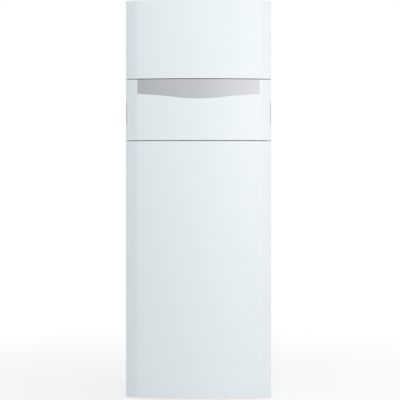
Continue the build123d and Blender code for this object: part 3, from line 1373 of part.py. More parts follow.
def heating_pump():
    """The heating pump, with its riser up to the drum."""
    body = pump(HEATING_PUMP_X, HEATING_PUMP_Y)
    z = DRUM_Z + RISER_RISE
    reach = math.sqrt(DRUM_RADIUS**2 - (DRUM_Y - HEATING_PUMP_Y) ** 2)
    points = [
        (HEATING_PUMP_X + PUMP_RADIUS - RISER_RADIUS, HEATING_PUMP_Y, LEVEL_Z),
        (RISER_X, HEATING_PUMP_Y, LEVEL_Z),
        (RISER_X, HEATING_PUMP_Y, z),
        (DRUM_X + reach + RISER_RADIUS / 2, HEATING_PUMP_Y, z),
    ]
    return body + bent_rod(points, RISER_RADIUS, GAS_BEND)


def charging_pump():
    """The charging pump over the cylinder's nozzle, with its link to the plates."""
    body = pump(COLD_X, CHARGING_PUMP_Y)
    y = PLATE_REAR_Y - LINK_RADIUS - PUMP_NOZZLE / 2
    link = rod_x(PLATE_RIGHT_X, COLD_X, y, LEVEL_Z, LINK_RADIUS)
    return body + link


def diverter_valve():
    """The diverter valve with its actuator and its links to the pump and the plates."""
    x1 = DIVERTER_X + DIVERTER_WIDTH
    y1 = DIVERTER_Y + DIVERTER_DEPTH
    top = SHELF_TOP + DIVERTER_HEIGHT
    valve = block(DIVERTER_X, x1, DIVERTER_Y, y1, SHELF_TOP, top)
    inset = ACTUATOR_INSET
    y0 = DIVERTER_Y + inset
    valve += block(DIVERTER_X + inset, x1 - inset, y0, y1 - inset, top, top + ACTUATOR_HEIGHT)
    y = (DIVERTER_Y + y1) / 2
    valve += rod_x(PLATE_RIGHT_X, DIVERTER_X + inset, y, LEVEL_Z, LINK_RADIUS)
    return valve + rod_x(x1 - inset, HEATING_PUMP_X - PUMP_RADIUS, y, LEVEL_Z, LINK_RADIUS)


def relief_rod(y0, y1, radius):
    """A rod on the axis of the relief valve."""
    return rod_y(HEATING_PUMP_X, y0, y1, SHELF_TOP + RELIEF_LEVEL, radius)


def relief_valve():
    """The relief valve in front of the heating pump."""
    valve = relief_rod(RELIEF_FRONT_Y, HEATING_PUMP_Y - PUMP_RADIUS, RELIEF_RADIUS)
    end = RELIEF_FRONT_Y + RELIEF_STEM_LENGTH + FIT
    return valve - relief_rod(RELIEF_FRONT_Y - OVERRUN, end, RELIEF_STEM_RADIUS + RUNNING_FIT)


def relief_knob():
    """The lobed knob that turns on the relief valve's stem."""
    back = RELIEF_FRONT_Y - FIT
    front = back - RELIEF_KNOB_LENGTH
    knob = relief_rod(front, back, RELIEF_KNOB_RADIUS - KNOB_LOBE_RADIUS / 2)
    for n in range(KNOB_LOBES):
        turn = 2 * math.pi * n / KNOB_LOBES
        reach = RELIEF_KNOB_RADIUS - KNOB_LOBE_RADIUS
        x = HEATING_PUMP_X + reach * math.cos(turn)
        z = SHELF_TOP + RELIEF_LEVEL + reach * math.sin(turn)
        knob += rod_y(x, front, back, z, KNOB_LOBE_RADIUS)
    return knob + relief_rod(back, RELIEF_FRONT_Y + RELIEF_STEM_LENGTH, RELIEF_STEM_RADIUS)


def condensate_siphon():
    """The siphon under the sump's spout, with its drain out through the rear panel."""
    top = SHELF_TOP + SIPHON_HEIGHT
    cup = rod_z(0, SIPHON_Y, SHELF_TOP, top, SIPHON_RADIUS)
    drain_z = SHELF_TOP + DRAIN_LEVEL
    start = SIPHON_Y + SIPHON_RADIUS - SIPHON_WALL / 2
    cup += rod_y(GAS_X, start, REAR_Y, drain_z, DRAIN_RADIUS)
    cup -= rod_z(0, SIPHON_Y, SHELF_TOP + SIPHON_FOOT, top - SIPHON_WALL, SIPHON_RADIUS - SIPHON_WALL)
    cup -= rod_z(0, SIPHON_Y, top - 2 * SIPHON_WALL, top + OVERRUN, SPOUT_RADIUS - SUMP_WALL)
    bore = DRAIN_RADIUS - SIPHON_WALL
    cup -= rod_y(GAS_X, SIPHON_Y, REAR_Y, drain_z, bore - DRAIN_SHOULDER)
    return cup - rod_y(GAS_X, REAR_Y - DRAIN_SOCKET, REAR_Y + OVERRUN, drain_z, bore)


def flue_rod(z0, z1, radius):
    """An upright rod on the axis of the flue."""
    return rod_z(0, FLUE_Y, z0, z1, radius)


def flue_adapter():
    """A concentric adapter: air collar outside, flue socket inside, with its pipe to the sump."""
    collar_top = LEDGE_TOP + COLLAR_HEIGHT
    half = FLUE_FLANGE / 2
    adapter = block(-half, half, FLUE_Y - half, FLUE_Y + half, LEDGE_TOP, LEDGE_TOP + FLUE_FLANGE_SHEET)
    adapter += flue_rod(LEDGE_Z, collar_top, COLLAR_RADIUS)
    adapter += flue_rod(LEDGE_TOP, LEDGE_TOP + COLLAR_BASE, COLLAR_RADIUS + COLLAR_BASE_WALL)
    port_z = LEDGE_TOP + COLLAR_BASE - PORT_RADIUS - COLLAR_BASE_WALL
    for side in SIDES:
        inner = side * (COLLAR_RADIUS - COLLAR_WALL / 2)
        adapter += rod_x(inner, side * (COLLAR_RADIUS + PORT_LENGTH), FLUE_Y, port_z, PORT_RADIUS)
    adapter -= flue_rod(LEDGE_Z - OVERRUN, collar_top + OVERRUN, COLLAR_RADIUS - COLLAR_WALL)
    web_z1 = LEDGE_TOP + FLUE_FLANGE_SHEET
    reach = COLLAR_RADIUS - COLLAR_WALL / 2
    web = block(-reach, reach, -FLUE_WEB / 2, FLUE_WEB / 2, LEDGE_Z, web_z1)
    for turn in (0, 60, 120):
        adapter += Pos(0, FLUE_Y, 0) * Rot(0, 0, turn) * web
    flue_top = collar_top + FLUE_STEP
    adapter += flue_rod(SUMP_Z + SUMP_HEIGHT / 2, flue_top, FLUE_RADIUS + FLUE_WALL)
    adapter -= flue_rod(SUMP_Z, flue_top, FLUE_RADIUS - FLUE_SHOULDER)
    return adapter - flue_rod(flue_top - FLUE_SOCKET, flue_top + OVERRUN, FLUE_RADIUS)


def cable_glands():
    """Screwed cable glands on the ledge, with nothing led through them."""
    glands = []
    for x, y in gland_places():
        body = rod_z(x, y, LEDGE_TOP, LEDGE_TOP + GLAND_HEIGHT, GLAND_RADIUS - GLAND_NUT / 4)
        body += hexagon_z(x, y, LEDGE_TOP, LEDGE_TOP + GLAND_NUT, GLAND_RADIUS + GLAND_NUT / 3)
        body += rod_z(x, y, LEDGE_Z - GLAND_NUT, LEDGE_TOP, GLAND_RADIUS - GLAND_NUT / 2)
        body -= rod_z(x, y, LEDGE_Z - 2 * GLAND_NUT, LEDGE_TOP + 2 * GLAND_HEIGHT, GLAND_BORE_RADIUS)
        glands.append(body)
    return Compound(children=[solid for gland in glands for solid in gland.solids()])


def electronics_box():
    """The housing of the electronics, open to the front, with ears on the posts."""
    half = BOX_HALF_WIDTH
    wall = BOX_WALL
    box = block(-half, half, BOX_FRONT_Y, BOX_REAR_Y, BOX_BOTTOM, BOX_TOP)
    room = half - wall
    front = BOX_FRONT_Y - OVERRUN
    box -= block(-room, room, front, BOX_REAR_Y - wall, BOX_BOTTOM + wall, BOX_TOP - wall)
    for side in SIDES:
        z1 = BOX_TOP - BOX_EAR_DROP
        inner = side * (half - wall / 2)
        y0 = POST_REAR_Y - BOX_EAR
        box += block(inner, side * POST_INNER_X, y0, POST_REAR_Y, z1 - BOX_EAR_HEIGHT, z1)
    for x, z in board_corners():
        box += rod_y(x, BOX_REAR_Y - wall - BOARD_STANDOFF, BOX_REAR_Y - wall / 2, z, STANDOFF_RADIUS)
    return box


def board_corners():
    """Places of the standoffs under the main board."""
    x = BOX_HALF_WIDTH - 2 * BOARD_MARGIN
    low = BOX_BOTTOM + 2 * BOARD_MARGIN
    high = BOX_TOP - 2 * BOARD_MARGIN
    return [(side * x, z) for side in SIDES for z in (low, high)]


def main_board():
    """The main board with its transformer, relays, capacitors and connector rows."""
    y1 = BOX_REAR_Y - BOX_WALL - BOARD_STANDOFF
    y0 = y1 - BOARD_THICKNESS
    half = BOX_HALF_WIDTH - BOARD_MARGIN
    z0 = BOX_BOTTOM + BOARD_MARGIN
    z1 = BOX_TOP - BOARD_MARGIN
    board = block(-half, half, y0, y1, z0, z1)
    height = z1 - z0
    tall = BOARD_MARGIN * 2
    low = BOARD_MARGIN * 3 / 4
    left = BOARD_MARGIN - half
    board += block(left, 3 * BOARD_MARGIN + left, y0 - tall, y0, z0 + height / 2, z1 - BOARD_MARGIN)
    for n in range(5):
        x = -half + (6 + 1.5 * n) * BOARD_MARGIN
        board += block(x, x + BOARD_MARGIN, y0 - low, y0, z1 - 3 * BOARD_MARGIN, z1 - BOARD_MARGIN)
    for n in range(3):
        x = half - (2 + 2 * n) * BOARD_MARGIN
        board += rod_y(x, y0 - tall, y0, z1 - 2 * BOARD_MARGIN, BOARD_MARGIN * 3 / 5)
    pitch = 2 * (half - BOARD_MARGIN) / CONNECTORS
    for n in range(CONNECTORS):
        x = left + n * pitch
        board += block(x, x + 1.5 * BOARD_MARGIN, y0 - low, y0, z0 + BOARD_MARGIN / 4, z0 + BOARD_MARGIN)
    return board


def key_places():
    """Middle of each key on the fascia, by name."""
    upper = WINDOW_Z + KEY_SPACING / 2
    lower = WINDOW_Z - KEY_SPACING / 2
    return {
        "select_left": (-KEY_X, upper),
        "minus": (-KEY_X, lower),
        "select_right": (KEY_X, upper),
        "plus": (KEY_X, lower),
    }


def rocker_plan():
    """Side view of the rocker about its pivot: a circle cut by two front flats and a flat back."""
    slope = ROCKER_RADIUS * math.tan(math.radians(ROCKER_TILT))
    front = ROCKER_FRONT + slope / 2
    notch = ROCKER_FRONT - slope / 2
    outline = make_face(
        Polyline(
            (-notch, 0),
            (-front, ROCKER_RADIUS),
            (ROCKER_BACK, ROCKER_RADIUS),
            (ROCKER_BACK, -ROCKER_RADIUS),
            (-front, -ROCKER_RADIUS),
            (-notch, 0),
        )
    )
    return Circle(ROCKER_RADIUS) & outline


def power_rocker():
    """The rocker switch's cap, tilted to its off side, on two pins."""
    half = ROCKER_WIDTH / 2
    cap = extrude(Plane.YZ.offset(-half) * rocker_plan(), ROCKER_WIDTH)
    cap += rod_x(-half - ROCKER_PIN, half + ROCKER_PIN, 0, 0, ROCKER_PIN_RADIUS)
    return Pos(ROCKER_X, ROCKER_Y, ROCKER_Z) * Rot(-ROCKER_TILT, 0, 0) * cap


def control_fascia():
    """The fascia: a moulded frame with a window, key holes and the rocker's socket."""
    half = FASCIA_HALF_WIDTH
    wall = FASCIA_WALL
    fascia = block(-half, half, FASCIA_Y, BOX_FRONT_Y, FASCIA_BOTTOM, FASCIA_TOP)
    room = half - wall
    back = BOX_FRONT_Y + OVERRUN
    fascia -= block(-room, room, FASCIA_INNER_Y, back, FASCIA_BOTTOM + wall, FASCIA_TOP - wall)
    socket_half = ROCKER_WIDTH / 2 + FIT + ROCKER_SOCKET_WALL
    socket_reach = ROCKER_RADIUS + FIT + ROCKER_SOCKET_WALL
    fascia += block(
        ROCKER_X - socket_half,
        ROCKER_X + socket_half,
        FASCIA_Y,
        FASCIA_Y + ROCKER_SOCKET,
        ROCKER_Z - socket_reach,
        ROCKER_Z + socket_reach,
    )
    cut_half = ROCKER_WIDTH / 2 + FIT
    cut_reach = ROCKER_RADIUS + FIT
    fascia -= block(
        ROCKER_X - cut_half,
        ROCKER_X + cut_half,
        FASCIA_Y - OVERRUN,
        FASCIA_Y + ROCKER_SOCKET - wall / 2,
        ROCKER_Z - cut_reach,
        ROCKER_Z + cut_reach,
    )
    pin_half = ROCKER_WIDTH / 2 + ROCKER_PIN + FIT
    pin_bore = ROCKER_PIN_RADIUS + RUNNING_FIT
    fascia -= rod_x(ROCKER_X - pin_half, ROCKER_X + pin_half, ROCKER_Y, ROCKER_Z, pin_bore)
    fascia -= block(
        -WINDOW_WIDTH / 2,
        WINDOW_WIDTH / 2,
        FASCIA_Y - OVERRUN,
        FASCIA_INNER_Y + OVERRUN,
        WINDOW_Z - WINDOW_HEIGHT / 2,
        WINDOW_Z + WINDOW_HEIGHT / 2,
    )
    for x, z in key_places().values():
        w = KEY_WIDTH / 2 + FIT
        h = KEY_HEIGHT / 2 + FIT
        fascia -= block(x - w, x + w, FASCIA_Y - OVERRUN, FASCIA_INNER_Y + OVERRUN, z - h, z + h)
    return fascia


def key(x, z):
    """A key cap with a lip behind the fascia and a stem to its switch."""
    w = KEY_WIDTH / 2
    h = KEY_HEIGHT / 2
    cap = block(x - w, x + w, FASCIA_Y - KEY_PROUD, KEY_LIP_Y, z - h, z + h)
    cap = fillet(cap.edges().group_by(Axis.Y)[0], KEY_PROUD / 4)
    w += KEY_LIP_MARGIN
    h += KEY_LIP_MARGIN
    cap += block(x - w, x + w, KEY_LIP_Y, KEY_LIP_Y + KEY_LIP, z - h, z + h)
    s = KEY_STEM / 2
    return cap + block(x - s, x + s, KEY_LIP_Y + KEY_LIP, KEY_BACK_Y, z - s, z + s)


def display_module():
    """The display with its board, which also carries the key switches."""
    w = WINDOW_WIDTH / 2 + DISPLAY_MARGIN
    h = WINDOW_HEIGHT / 2 + DISPLAY_MARGIN
    module = block(-w, w, FASCIA_INNER_Y, DISPLAY_BOARD_Y, WINDOW_Z - h, WINDOW_Z + h)
    pane_w = WINDOW_WIDTH / 2 - FIT
    pane_h = WINDOW_HEIGHT / 2 - FIT
    pane_y = FASCIA_INNER_Y - DISPLAY_LIP
    module += block(-pane_w, pane_w, pane_y, FASCIA_INNER_Y, WINDOW_Z - pane_h, WINDOW_Z + pane_h)
    board = WINDOW_WIDTH / 2 + DISPLAY_BOARD_MARGIN
    board_y = DISPLAY_BOARD_Y + BOARD_THICKNESS
    module += block(-board, board, DISPLAY_BOARD_Y, board_y, WINDOW_Z - h, WINDOW_Z + h)
    s = SWITCH_SIZE / 2
    for x, z in key_places().values():
        module += block(x - s, x + s, SWITCH_Y, DISPLAY_BOARD_Y, z - s, z + s)
    for side in SIDES:
        for z in (WINDOW_Z - h + SWITCH_SIZE, WINDOW_Z + h - SWITCH_SIZE):
            x = side * (board - SWITCH_SIZE)
            module += rod_y(x, FASCIA_INNER_Y, DISPLAY_BOARD_Y, z, SWITCH_SIZE / 2)
    return module


def make_all():
    """Every sub-part by its node name."""
    nodes = {
        "upper_front_panel": upper_front_panel(),
        "control_flap": control_flap(),
        "flap_trim": flap_trim(),
        "flap_arms": flap_arms(),
        "lower_front_panel": lower_front_panel(),
        "flap_hinge_pins": flap_hinge_pins(),
        "flap_catches": flap_catches(),
        "finger_grips": finger_grips(),
        "side_panel_left": side_panel(-1),
        "side_panel_right": side_panel(1),
        "front_posts": front_posts(),
        "panel_clips": panel_clips(),
        "rear_panel": rear_panel(),
        "case_screws": case_screws(),
        "top_cover": top_cover(),
        "base_frame": base_frame(),
        "equipment_shelf": mid_shelf(),
        "hot_water_cylinder": hot_water_cylinder(),
        "cylinder_jacket": cylinder_jacket(),
        "service_flange_cover": service_flange_cover(),
        "anode_rod": anode_rod(),
        "heating_flow_pipe": heating_flow_pipe(),
        "heating_return_pipe": heating_return_pipe(),
        "hot_water_pipe": hot_water_pipe(),
        "cold_water_pipe": cold_water_pipe(),
        "gas_pipe": gas_pipe(),
        "heat_exchanger": heat_exchanger(),
        "exchanger_coil": exchanger_coil(),
        "burner_door": burner_door(),
        "burner_tube": burner_tube(),
        "ignition_electrode": ignition_electrode(),
        "condensate_sump": condensate_sump(),
        "fan_housing": fan_housing(),
        "fan_impeller": fan_impeller(),
        "fan_motor": fan_motor(),
        "air_silencer": air_silencer(),
        "gas_valve": gas_valve(),
        "expansion_vessel": expansion_vessel(),
        "plate_heat_exchanger": plate_heat_exchanger(),
        "heating_pump": heating_pump(),
        "charging_pump": charging_pump(),
        "diverter_valve": diverter_valve(),
        "relief_valve": relief_valve(),
        "relief_knob": relief_knob(),
        "condensate_siphon": condensate_siphon(),
        "flue_adapter": flue_adapter(),
        "cable_glands": cable_glands(),
        "electronics_box": electronics_box(),
        "main_board": main_board(),
        "control_fascia": control_fascia(),
        "display_module": display_module(),
        "power_rocker": power_rocker(),
    }
    for name, (x, z) in key_places().items():
        nodes["key_" + name] = key(x, z)
    for name, (x, y) in foot_places().items():
        nodes["foot_" + name] = levelling_foot(x, y)
    return nodes


os.makedirs("parts", exist_ok=True)
for node, shape in make_all().items():
    export_step(shape, "parts/" + node + ".step")
    print(node, len(shape.solids()), round(shape.volume))
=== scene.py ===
"""Looks of a floor standing gas boiler: materials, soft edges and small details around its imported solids.

Shapes are worked out in millimetres in the frame of the solids: the front looks along -Y, z = 0 is the floor.
Materials read the objects' own coordinates in metres, and the studio is set up in metres.
"""

import json
import math

import bpy
import numpy as np
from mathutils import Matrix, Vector

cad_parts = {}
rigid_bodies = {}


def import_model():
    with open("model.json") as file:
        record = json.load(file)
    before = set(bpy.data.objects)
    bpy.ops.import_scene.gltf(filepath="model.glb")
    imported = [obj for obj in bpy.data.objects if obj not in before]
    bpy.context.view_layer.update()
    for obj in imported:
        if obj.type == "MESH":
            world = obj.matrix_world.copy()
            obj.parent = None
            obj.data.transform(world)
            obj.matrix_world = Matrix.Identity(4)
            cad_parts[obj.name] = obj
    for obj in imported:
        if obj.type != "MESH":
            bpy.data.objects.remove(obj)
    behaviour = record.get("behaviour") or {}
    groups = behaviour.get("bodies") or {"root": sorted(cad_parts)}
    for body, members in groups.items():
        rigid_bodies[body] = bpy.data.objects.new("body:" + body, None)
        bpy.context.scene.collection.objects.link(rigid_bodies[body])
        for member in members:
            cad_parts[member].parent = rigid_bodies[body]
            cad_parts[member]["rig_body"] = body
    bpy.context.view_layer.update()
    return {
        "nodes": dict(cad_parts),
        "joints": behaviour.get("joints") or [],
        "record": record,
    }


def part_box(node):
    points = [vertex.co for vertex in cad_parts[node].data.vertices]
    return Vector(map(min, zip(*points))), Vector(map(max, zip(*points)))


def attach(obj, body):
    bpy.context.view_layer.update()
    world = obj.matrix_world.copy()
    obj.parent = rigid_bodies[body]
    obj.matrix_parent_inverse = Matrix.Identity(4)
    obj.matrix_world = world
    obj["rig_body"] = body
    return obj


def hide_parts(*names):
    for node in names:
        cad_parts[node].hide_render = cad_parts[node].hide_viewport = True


MM = 0.001

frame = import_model()


# Places that the frame gives


def corners(node):
    """The lowest and the highest corner of a solid's box, in millimetres."""
    return [np.round(np.array(corner) / MM, 3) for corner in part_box(node)]


def middle(node):
    """The middle of a solid's box, in millimetres."""
    return sum(corners(node)) / 2


def front_face(node):
    """The middle of a solid's front."""
    across, _, up = middle(node)
    return np.array([across, corners(node)[0][1], up])


slot_of = {row["node"]: row["material_slot"] for row in frame["record"]["subparts"]}
mounts = {row["name"]: np.round(np.array(row["pos_m"]) / MM, 3) for row in frame["record"]["mounts"]}
joints = {row["name"]: row for row in frame["joints"]}


# Shader graphs


class Value:
    """What a socket inside a shader tree gives. Those that are numbers take ordinary arithmetic."""

    def __init__(self, tree, socket):
        self.tree = tree
        self.socket = socket

    def maths(self, operation, *operands):
        """The result of a maths node."""
        node = self.tree.nodes.new("ShaderNodeMath")
        node.operation = operation
        for place, operand in zip(node.inputs, operands):
            feed(self.tree, place, operand)
        return Value(self.tree, node.outputs[0])

    def __add__(self, other):
        return self.maths("ADD", self, other)

    def __radd__(self, other):
        return self.maths("ADD", other, self)

    def __sub__(self, other):
        return self.maths("SUBTRACT", self, other)

    def __rsub__(self, other):
        return self.maths("SUBTRACT", other, self)

    def __mul__(self, other):
        return self.maths("MULTIPLY", self, other)

    def __rmul__(self, other):
        return self.maths("MULTIPLY", other, self)

    def __pow__(self, other):
        return self.maths("POWER", self, other)

    def above(self, other):
        """One where the value is above another, else zero."""
        return self.maths("GREATER_THAN", self, other)

    def ripple(self):
        """The sine of the value, an angle."""
        return self.maths("SINE", self)

    def sibling(self, output):
        """Another output of the node that the value comes from."""
        return Value(self.tree, pick(self.socket.node.outputs, output))


def pick(sockets, key):
    """The socket with an identifier, whose blanks may be written as underscores."""
    return next(place for place in sockets if place.identifier.replace(" ", "_") == key.replace(" ", "_"))


def feed(tree, place, given):
    """Links a value or an output to a socket, or sets the socket's own number or colour."""
    if isinstance(given, Value):
        tree.links.new(given.socket, place)
    elif hasattr(given, "is_output"):
        tree.links.new(given, place)
    elif place.type == "RGBA":
        place.default_value = (*given, 1.0)
    else:
        place.default_value = given


class Graph:
    """A tree of shader nodes."""

    def __init__(self, tree):
        self.tree = tree

    def node(self, kind, output, settings=None, **inputs):
        """A node of any kind, with its settings and its inputs by identifier. Gives one output."""
        made = self.tree.nodes.new(kind)
        for key, setting in (settings or {}).items():
            setattr(made, key, setting)
        for key, given in inputs.items():
            feed(self.tree, pick(made.inputs, key), given)
        return Value(self.tree, pick(made.outputs, output))

    def blend(self, share, low, high):
        """A colour between two colours."""
        colours = {"Factor_Float": share, "A_Color": low, "B_Color": high}
        return self.node("ShaderNodeMix", "Result_Color", {"data_type": "RGBA"}, **colours)

    def seen_directly(self):
        """One for rays that show the backdrop itself: from the camera, by a gloss or through glass."""
        straight = self.node("ShaderNodeLightPath", "Is Camera Ray")
        return straight + straight.sibling("Is Glossy Ray") + straight.sibling("Is Transmission Ray")


class Finish(Graph):
    """One procedural material under construction."""

    def __init__(self, name):
        self.material = bpy.data.materials.new(name)
        self.material.use_nodes = True
        super().__init__(self.material.node_tree)
        self.shader = self.tree.nodes["Principled BSDF"]
        self.place = self.node("ShaderNodeTexCoord", "Object")

    def noise(self, scale, detail=3.0, factors=None):
        """Cloudy noise from 0 to 1, its features about 1/scale metres, squeezed by factors along X, Y, Z."""
        place = self.place
        if factors:
            stretch = {"Vector": self.place, "Vector_001": factors}
            place = self.node("ShaderNodeVectorMath", "Vector", {"operation": "MULTIPLY"}, **stretch)
        return self.node("ShaderNodeTexNoise", "Fac", Vector=place, Scale=scale, Detail=detail)

    def patches(self, scale, **settings):
        """Two random tones that are constant over cells of about 1/scale metres."""
        colour = self.node("ShaderNodeTexVoronoi", "Color", settings, Vector=self.place, Scale=scale)
        red = self.node("ShaderNodeSeparateColor", "Red", Color=colour)
        return red, red.sibling("Green")

    def separate(self):
        """The object's X, Y and Z as three values."""
        across = self.node("ShaderNodeSeparateXYZ", "X", Vector=self.place)
        return across, across.sibling("Y"), across.sibling("Z")

    def relief(self, height, depth, strength):
        """A bump whose full height is the given depth in metres."""
        bump = self.node("ShaderNodeBump", "Normal", Height=height, Distance=depth, Strength=strength)
        feed(self.tree, self.shader.inputs["Normal"], bump)

    def surface(self, **inputs):
        """The finished material, from what the surface shader's sockets take."""
        for key, given in inputs.items():
            feed(self.tree, pick(self.shader.inputs, key), given)
        return self.material


def times(colour, factor):
    """A colour with each channel multiplied."""
    return tuple(channel * factor for channel in colour)


# Finishes


def powder_coat(name, colour, rough=0.34):
    """Baked powder paint: a faint orange peel of about a millimetre and slow tone drift."""
    made = Finish(name)
    peel = made.noise(scale=650.0, detail=2.0)
    drift = made.noise(scale=2.2, detail=1.0)
    made.relief(peel, depth=0.06 * MM, strength=0.35)
    return made.surface(
        Base_Color=made.blend(drift, times(colour, 0.99), times(colour, 1.01)),
        Roughness=rough - 0.03 + 0.06 * peel,
    )


def moulding(name, colour, rough=0.42, grain=900.0, depth=0.05, tone=0.06):
    """Moulded plastic with a fine spark-eroded grain."""
    made = Finish(name)
    grit = made.noise(scale=grain, detail=4.0)
    drift = made.noise(scale=9.0, detail=2.0)
    made.relief(grit, depth=depth * MM, strength=0.5)
    return made.surface(
        Base_Color=made.blend(drift, times(colour, 1 - tone), times(colour, 1 + tone)),
        Roughness=rough - 0.05 + 0.1 * grit,
    )


def brushed(name, colour, factors, rough=0.3, metallic=1.0, tone=0.08):
    """Metal with fine scratches: noise drawn out along one direction."""
    made = Finish(name)
    scratch = made.noise(scale=1.0, detail=5.0, factors=factors)
    made.relief(scratch, depth=0.02 * MM, strength=0.4)
    return made.surface(
        Base_Color=made.blend(scratch, times(colour, 1 - tone), times(colour, 1 + tone)),
        Metallic=metallic,
        Roughness=rough - 0.08 + 0.16 * scratch,
    )


def galvanised(name, colour):
    """Zinc coated sheet: crystal spangles of about twelve millimetres with their own tone and gloss."""
    made = Finish(name)
    spangle, _ = made.patches(scale=85.0)
    haze = made.noise(scale=30.0, detail=4.0)
    made.relief(haze, depth=0.05 * MM, strength=0.3)
    return made.surface(
        Base_Color=made.blend(0.65 * spangle + 0.35 * haze, times(colour, 0.86), times(colour, 1.1)),
        Metallic=0.85,
        Roughness=0.34 + 0.16 * spangle,
    )


def bare_metal(name, colour, dull, rough=0.28):
    """Plain metal whose surface has cloudy dull patches."""
    made = Finish(name)
    cloud = made.noise(scale=35.0, detail=5.0)
    fine = made.noise(scale=600.0, detail=2.0)
    made.relief(fine, depth=0.02 * MM, strength=0.4)
    return made.surface(
        Base_Color=made.blend(cloud, dull, colour),
        Metallic=1.0,
        Roughness=rough + 0.16 * (1 - cloud),
    )


def casting(name, colour, metallic=0.9, rough=0.5):
    """Sand or die cast metal: a coarse grain over a fine one."""
    made = Finish(name)
    grit = 0.6 * made.noise(scale=420.0, detail=4.0) + 0.4 * made.noise(scale=90.0, detail=2.0)
    made.relief(grit, depth=0.25 * MM, strength=0.6)
    return made.surface(
        Base_Color=made.blend(grit, times(colour, 0.82), times(colour, 1.12)),
        Metallic=metallic,
        Roughness=rough - 0.08 + 0.16 * grit,
    )


# In metres, as the materials read their places
JACKET_MIDDLE_Y = middle("cylinder_jacket")[1] * MM
WEAVES_AROUND = 398
WEAVES_UP = 1500.0


def foil_jacket(name, colour):
    """Foam wrapped in a pale woven foil with slow creases.

    The weave is the sine of a multiple of the angle round the jacket, times that of a multiple of the height.
    """
    made = Finish(name)
    across, deep, up = made.separate()
    angle = (deep - JACKET_MIDDLE_Y).maths("ARCTAN2", across)
    weave = 0.5 + 0.25 * (WEAVES_AROUND * angle).ripple() * (WEAVES_UP * up).ripple()
    crease = made.noise(scale=14.0, detail=3.0)
    made.relief(0.25 * weave + crease, depth=1.2 * MM, strength=0.5)
    return made.surface(
        Base_Color=made.blend(crease + 0.1 * weave, times(colour, 0.85), times(colour, 1.05)),
        Metallic=0.35,
        Roughness=0.38 + 0.2 * crease,
    )


BOARD_THICKNESS = 1.8
SOCKET_HEIGHT = 23.0
# In metres, as the materials read their places
BOARD_FACE = (corners("main_board")[1][1] - BOARD_THICKNESS) * MM
SOCKET_TOP = (corners("main_board")[0][2] + SOCKET_HEIGHT) * MM
TRACKS = 1600.0
MASK_GREENS = ((0.010, 0.085, 0.04), (0.03, 0.20, 0.085))
DARK_PART = (0.028, 0.028, 0.032)
IVORY_SOCKET = (0.55, 0.53, 0.45)


def circuit_board(name):
    """Solder mask with patches of tracks, upright or level, and dark parts and ivory sockets before it.

    A track lies where the sine of a multiple of the place across the lanes, shifted per patch, is above 0.2.
    """
    made = Finish(name)
    across, deep, up = made.separate()
    shift, turn = made.patches(scale=38.0, distance="CHEBYCHEV")
    upright = turn.above(0.5)
    lane = upright * across + (1 - upright) * up
    proud = (BOARD_FACE - deep).above(0.0)
    tracks = (TRACKS * lane + 6.3 * shift).ripple().above(0.2) * (1 - proud)
    cloud = made.noise(scale=400.0, detail=2.0)
    mask = made.blend(0.8 * tracks + 0.15 * cloud, *MASK_GREENS)
    parts = made.blend((SOCKET_TOP - up).above(0.0), DARK_PART, IVORY_SOCKET)
    made.relief(tracks, depth=0.04 * MM, strength=0.5)
    return made.surface(
        Base_Color=made.blend(proud, mask, parts),
        Roughness=0.3 + 0.1 * cloud + 0.12 * proud,
        Coat_Weight=0.3 * (1 - proud),
    )


def dark_pane(name):
    """The display's cover: near black and glossy, with a faint haze of fine wiping marks."""
    made = Finish(name)
    haze = made.noise(scale=40.0, detail=4.0, factors=(1.0, 1.0, 6.0))
    return made.surface(
        Base_Color=made.blend(haze, (0.012, 0.016, 0.02), (0.02, 0.026, 0.032)),
        Roughness=0.07 + 0.08 * haze,
        Coat_Weight=0.4,
    )


def lit_marks():
    """Pale backlit liquid crystal, a little uneven."""
    made = Finish("lit display marks")
    cloud = made.noise(scale=60.0, detail=2.0)
    glow = made.blend(cloud, (0.50, 0.66, 0.74), (0.62, 0.78, 0.86))
    return made.surface(
        Base_Color=(0.4, 0.5, 0.55),
        Emission_Color=glow,
        Emission_Strength=0.7,
        Roughness=0.4,
    )


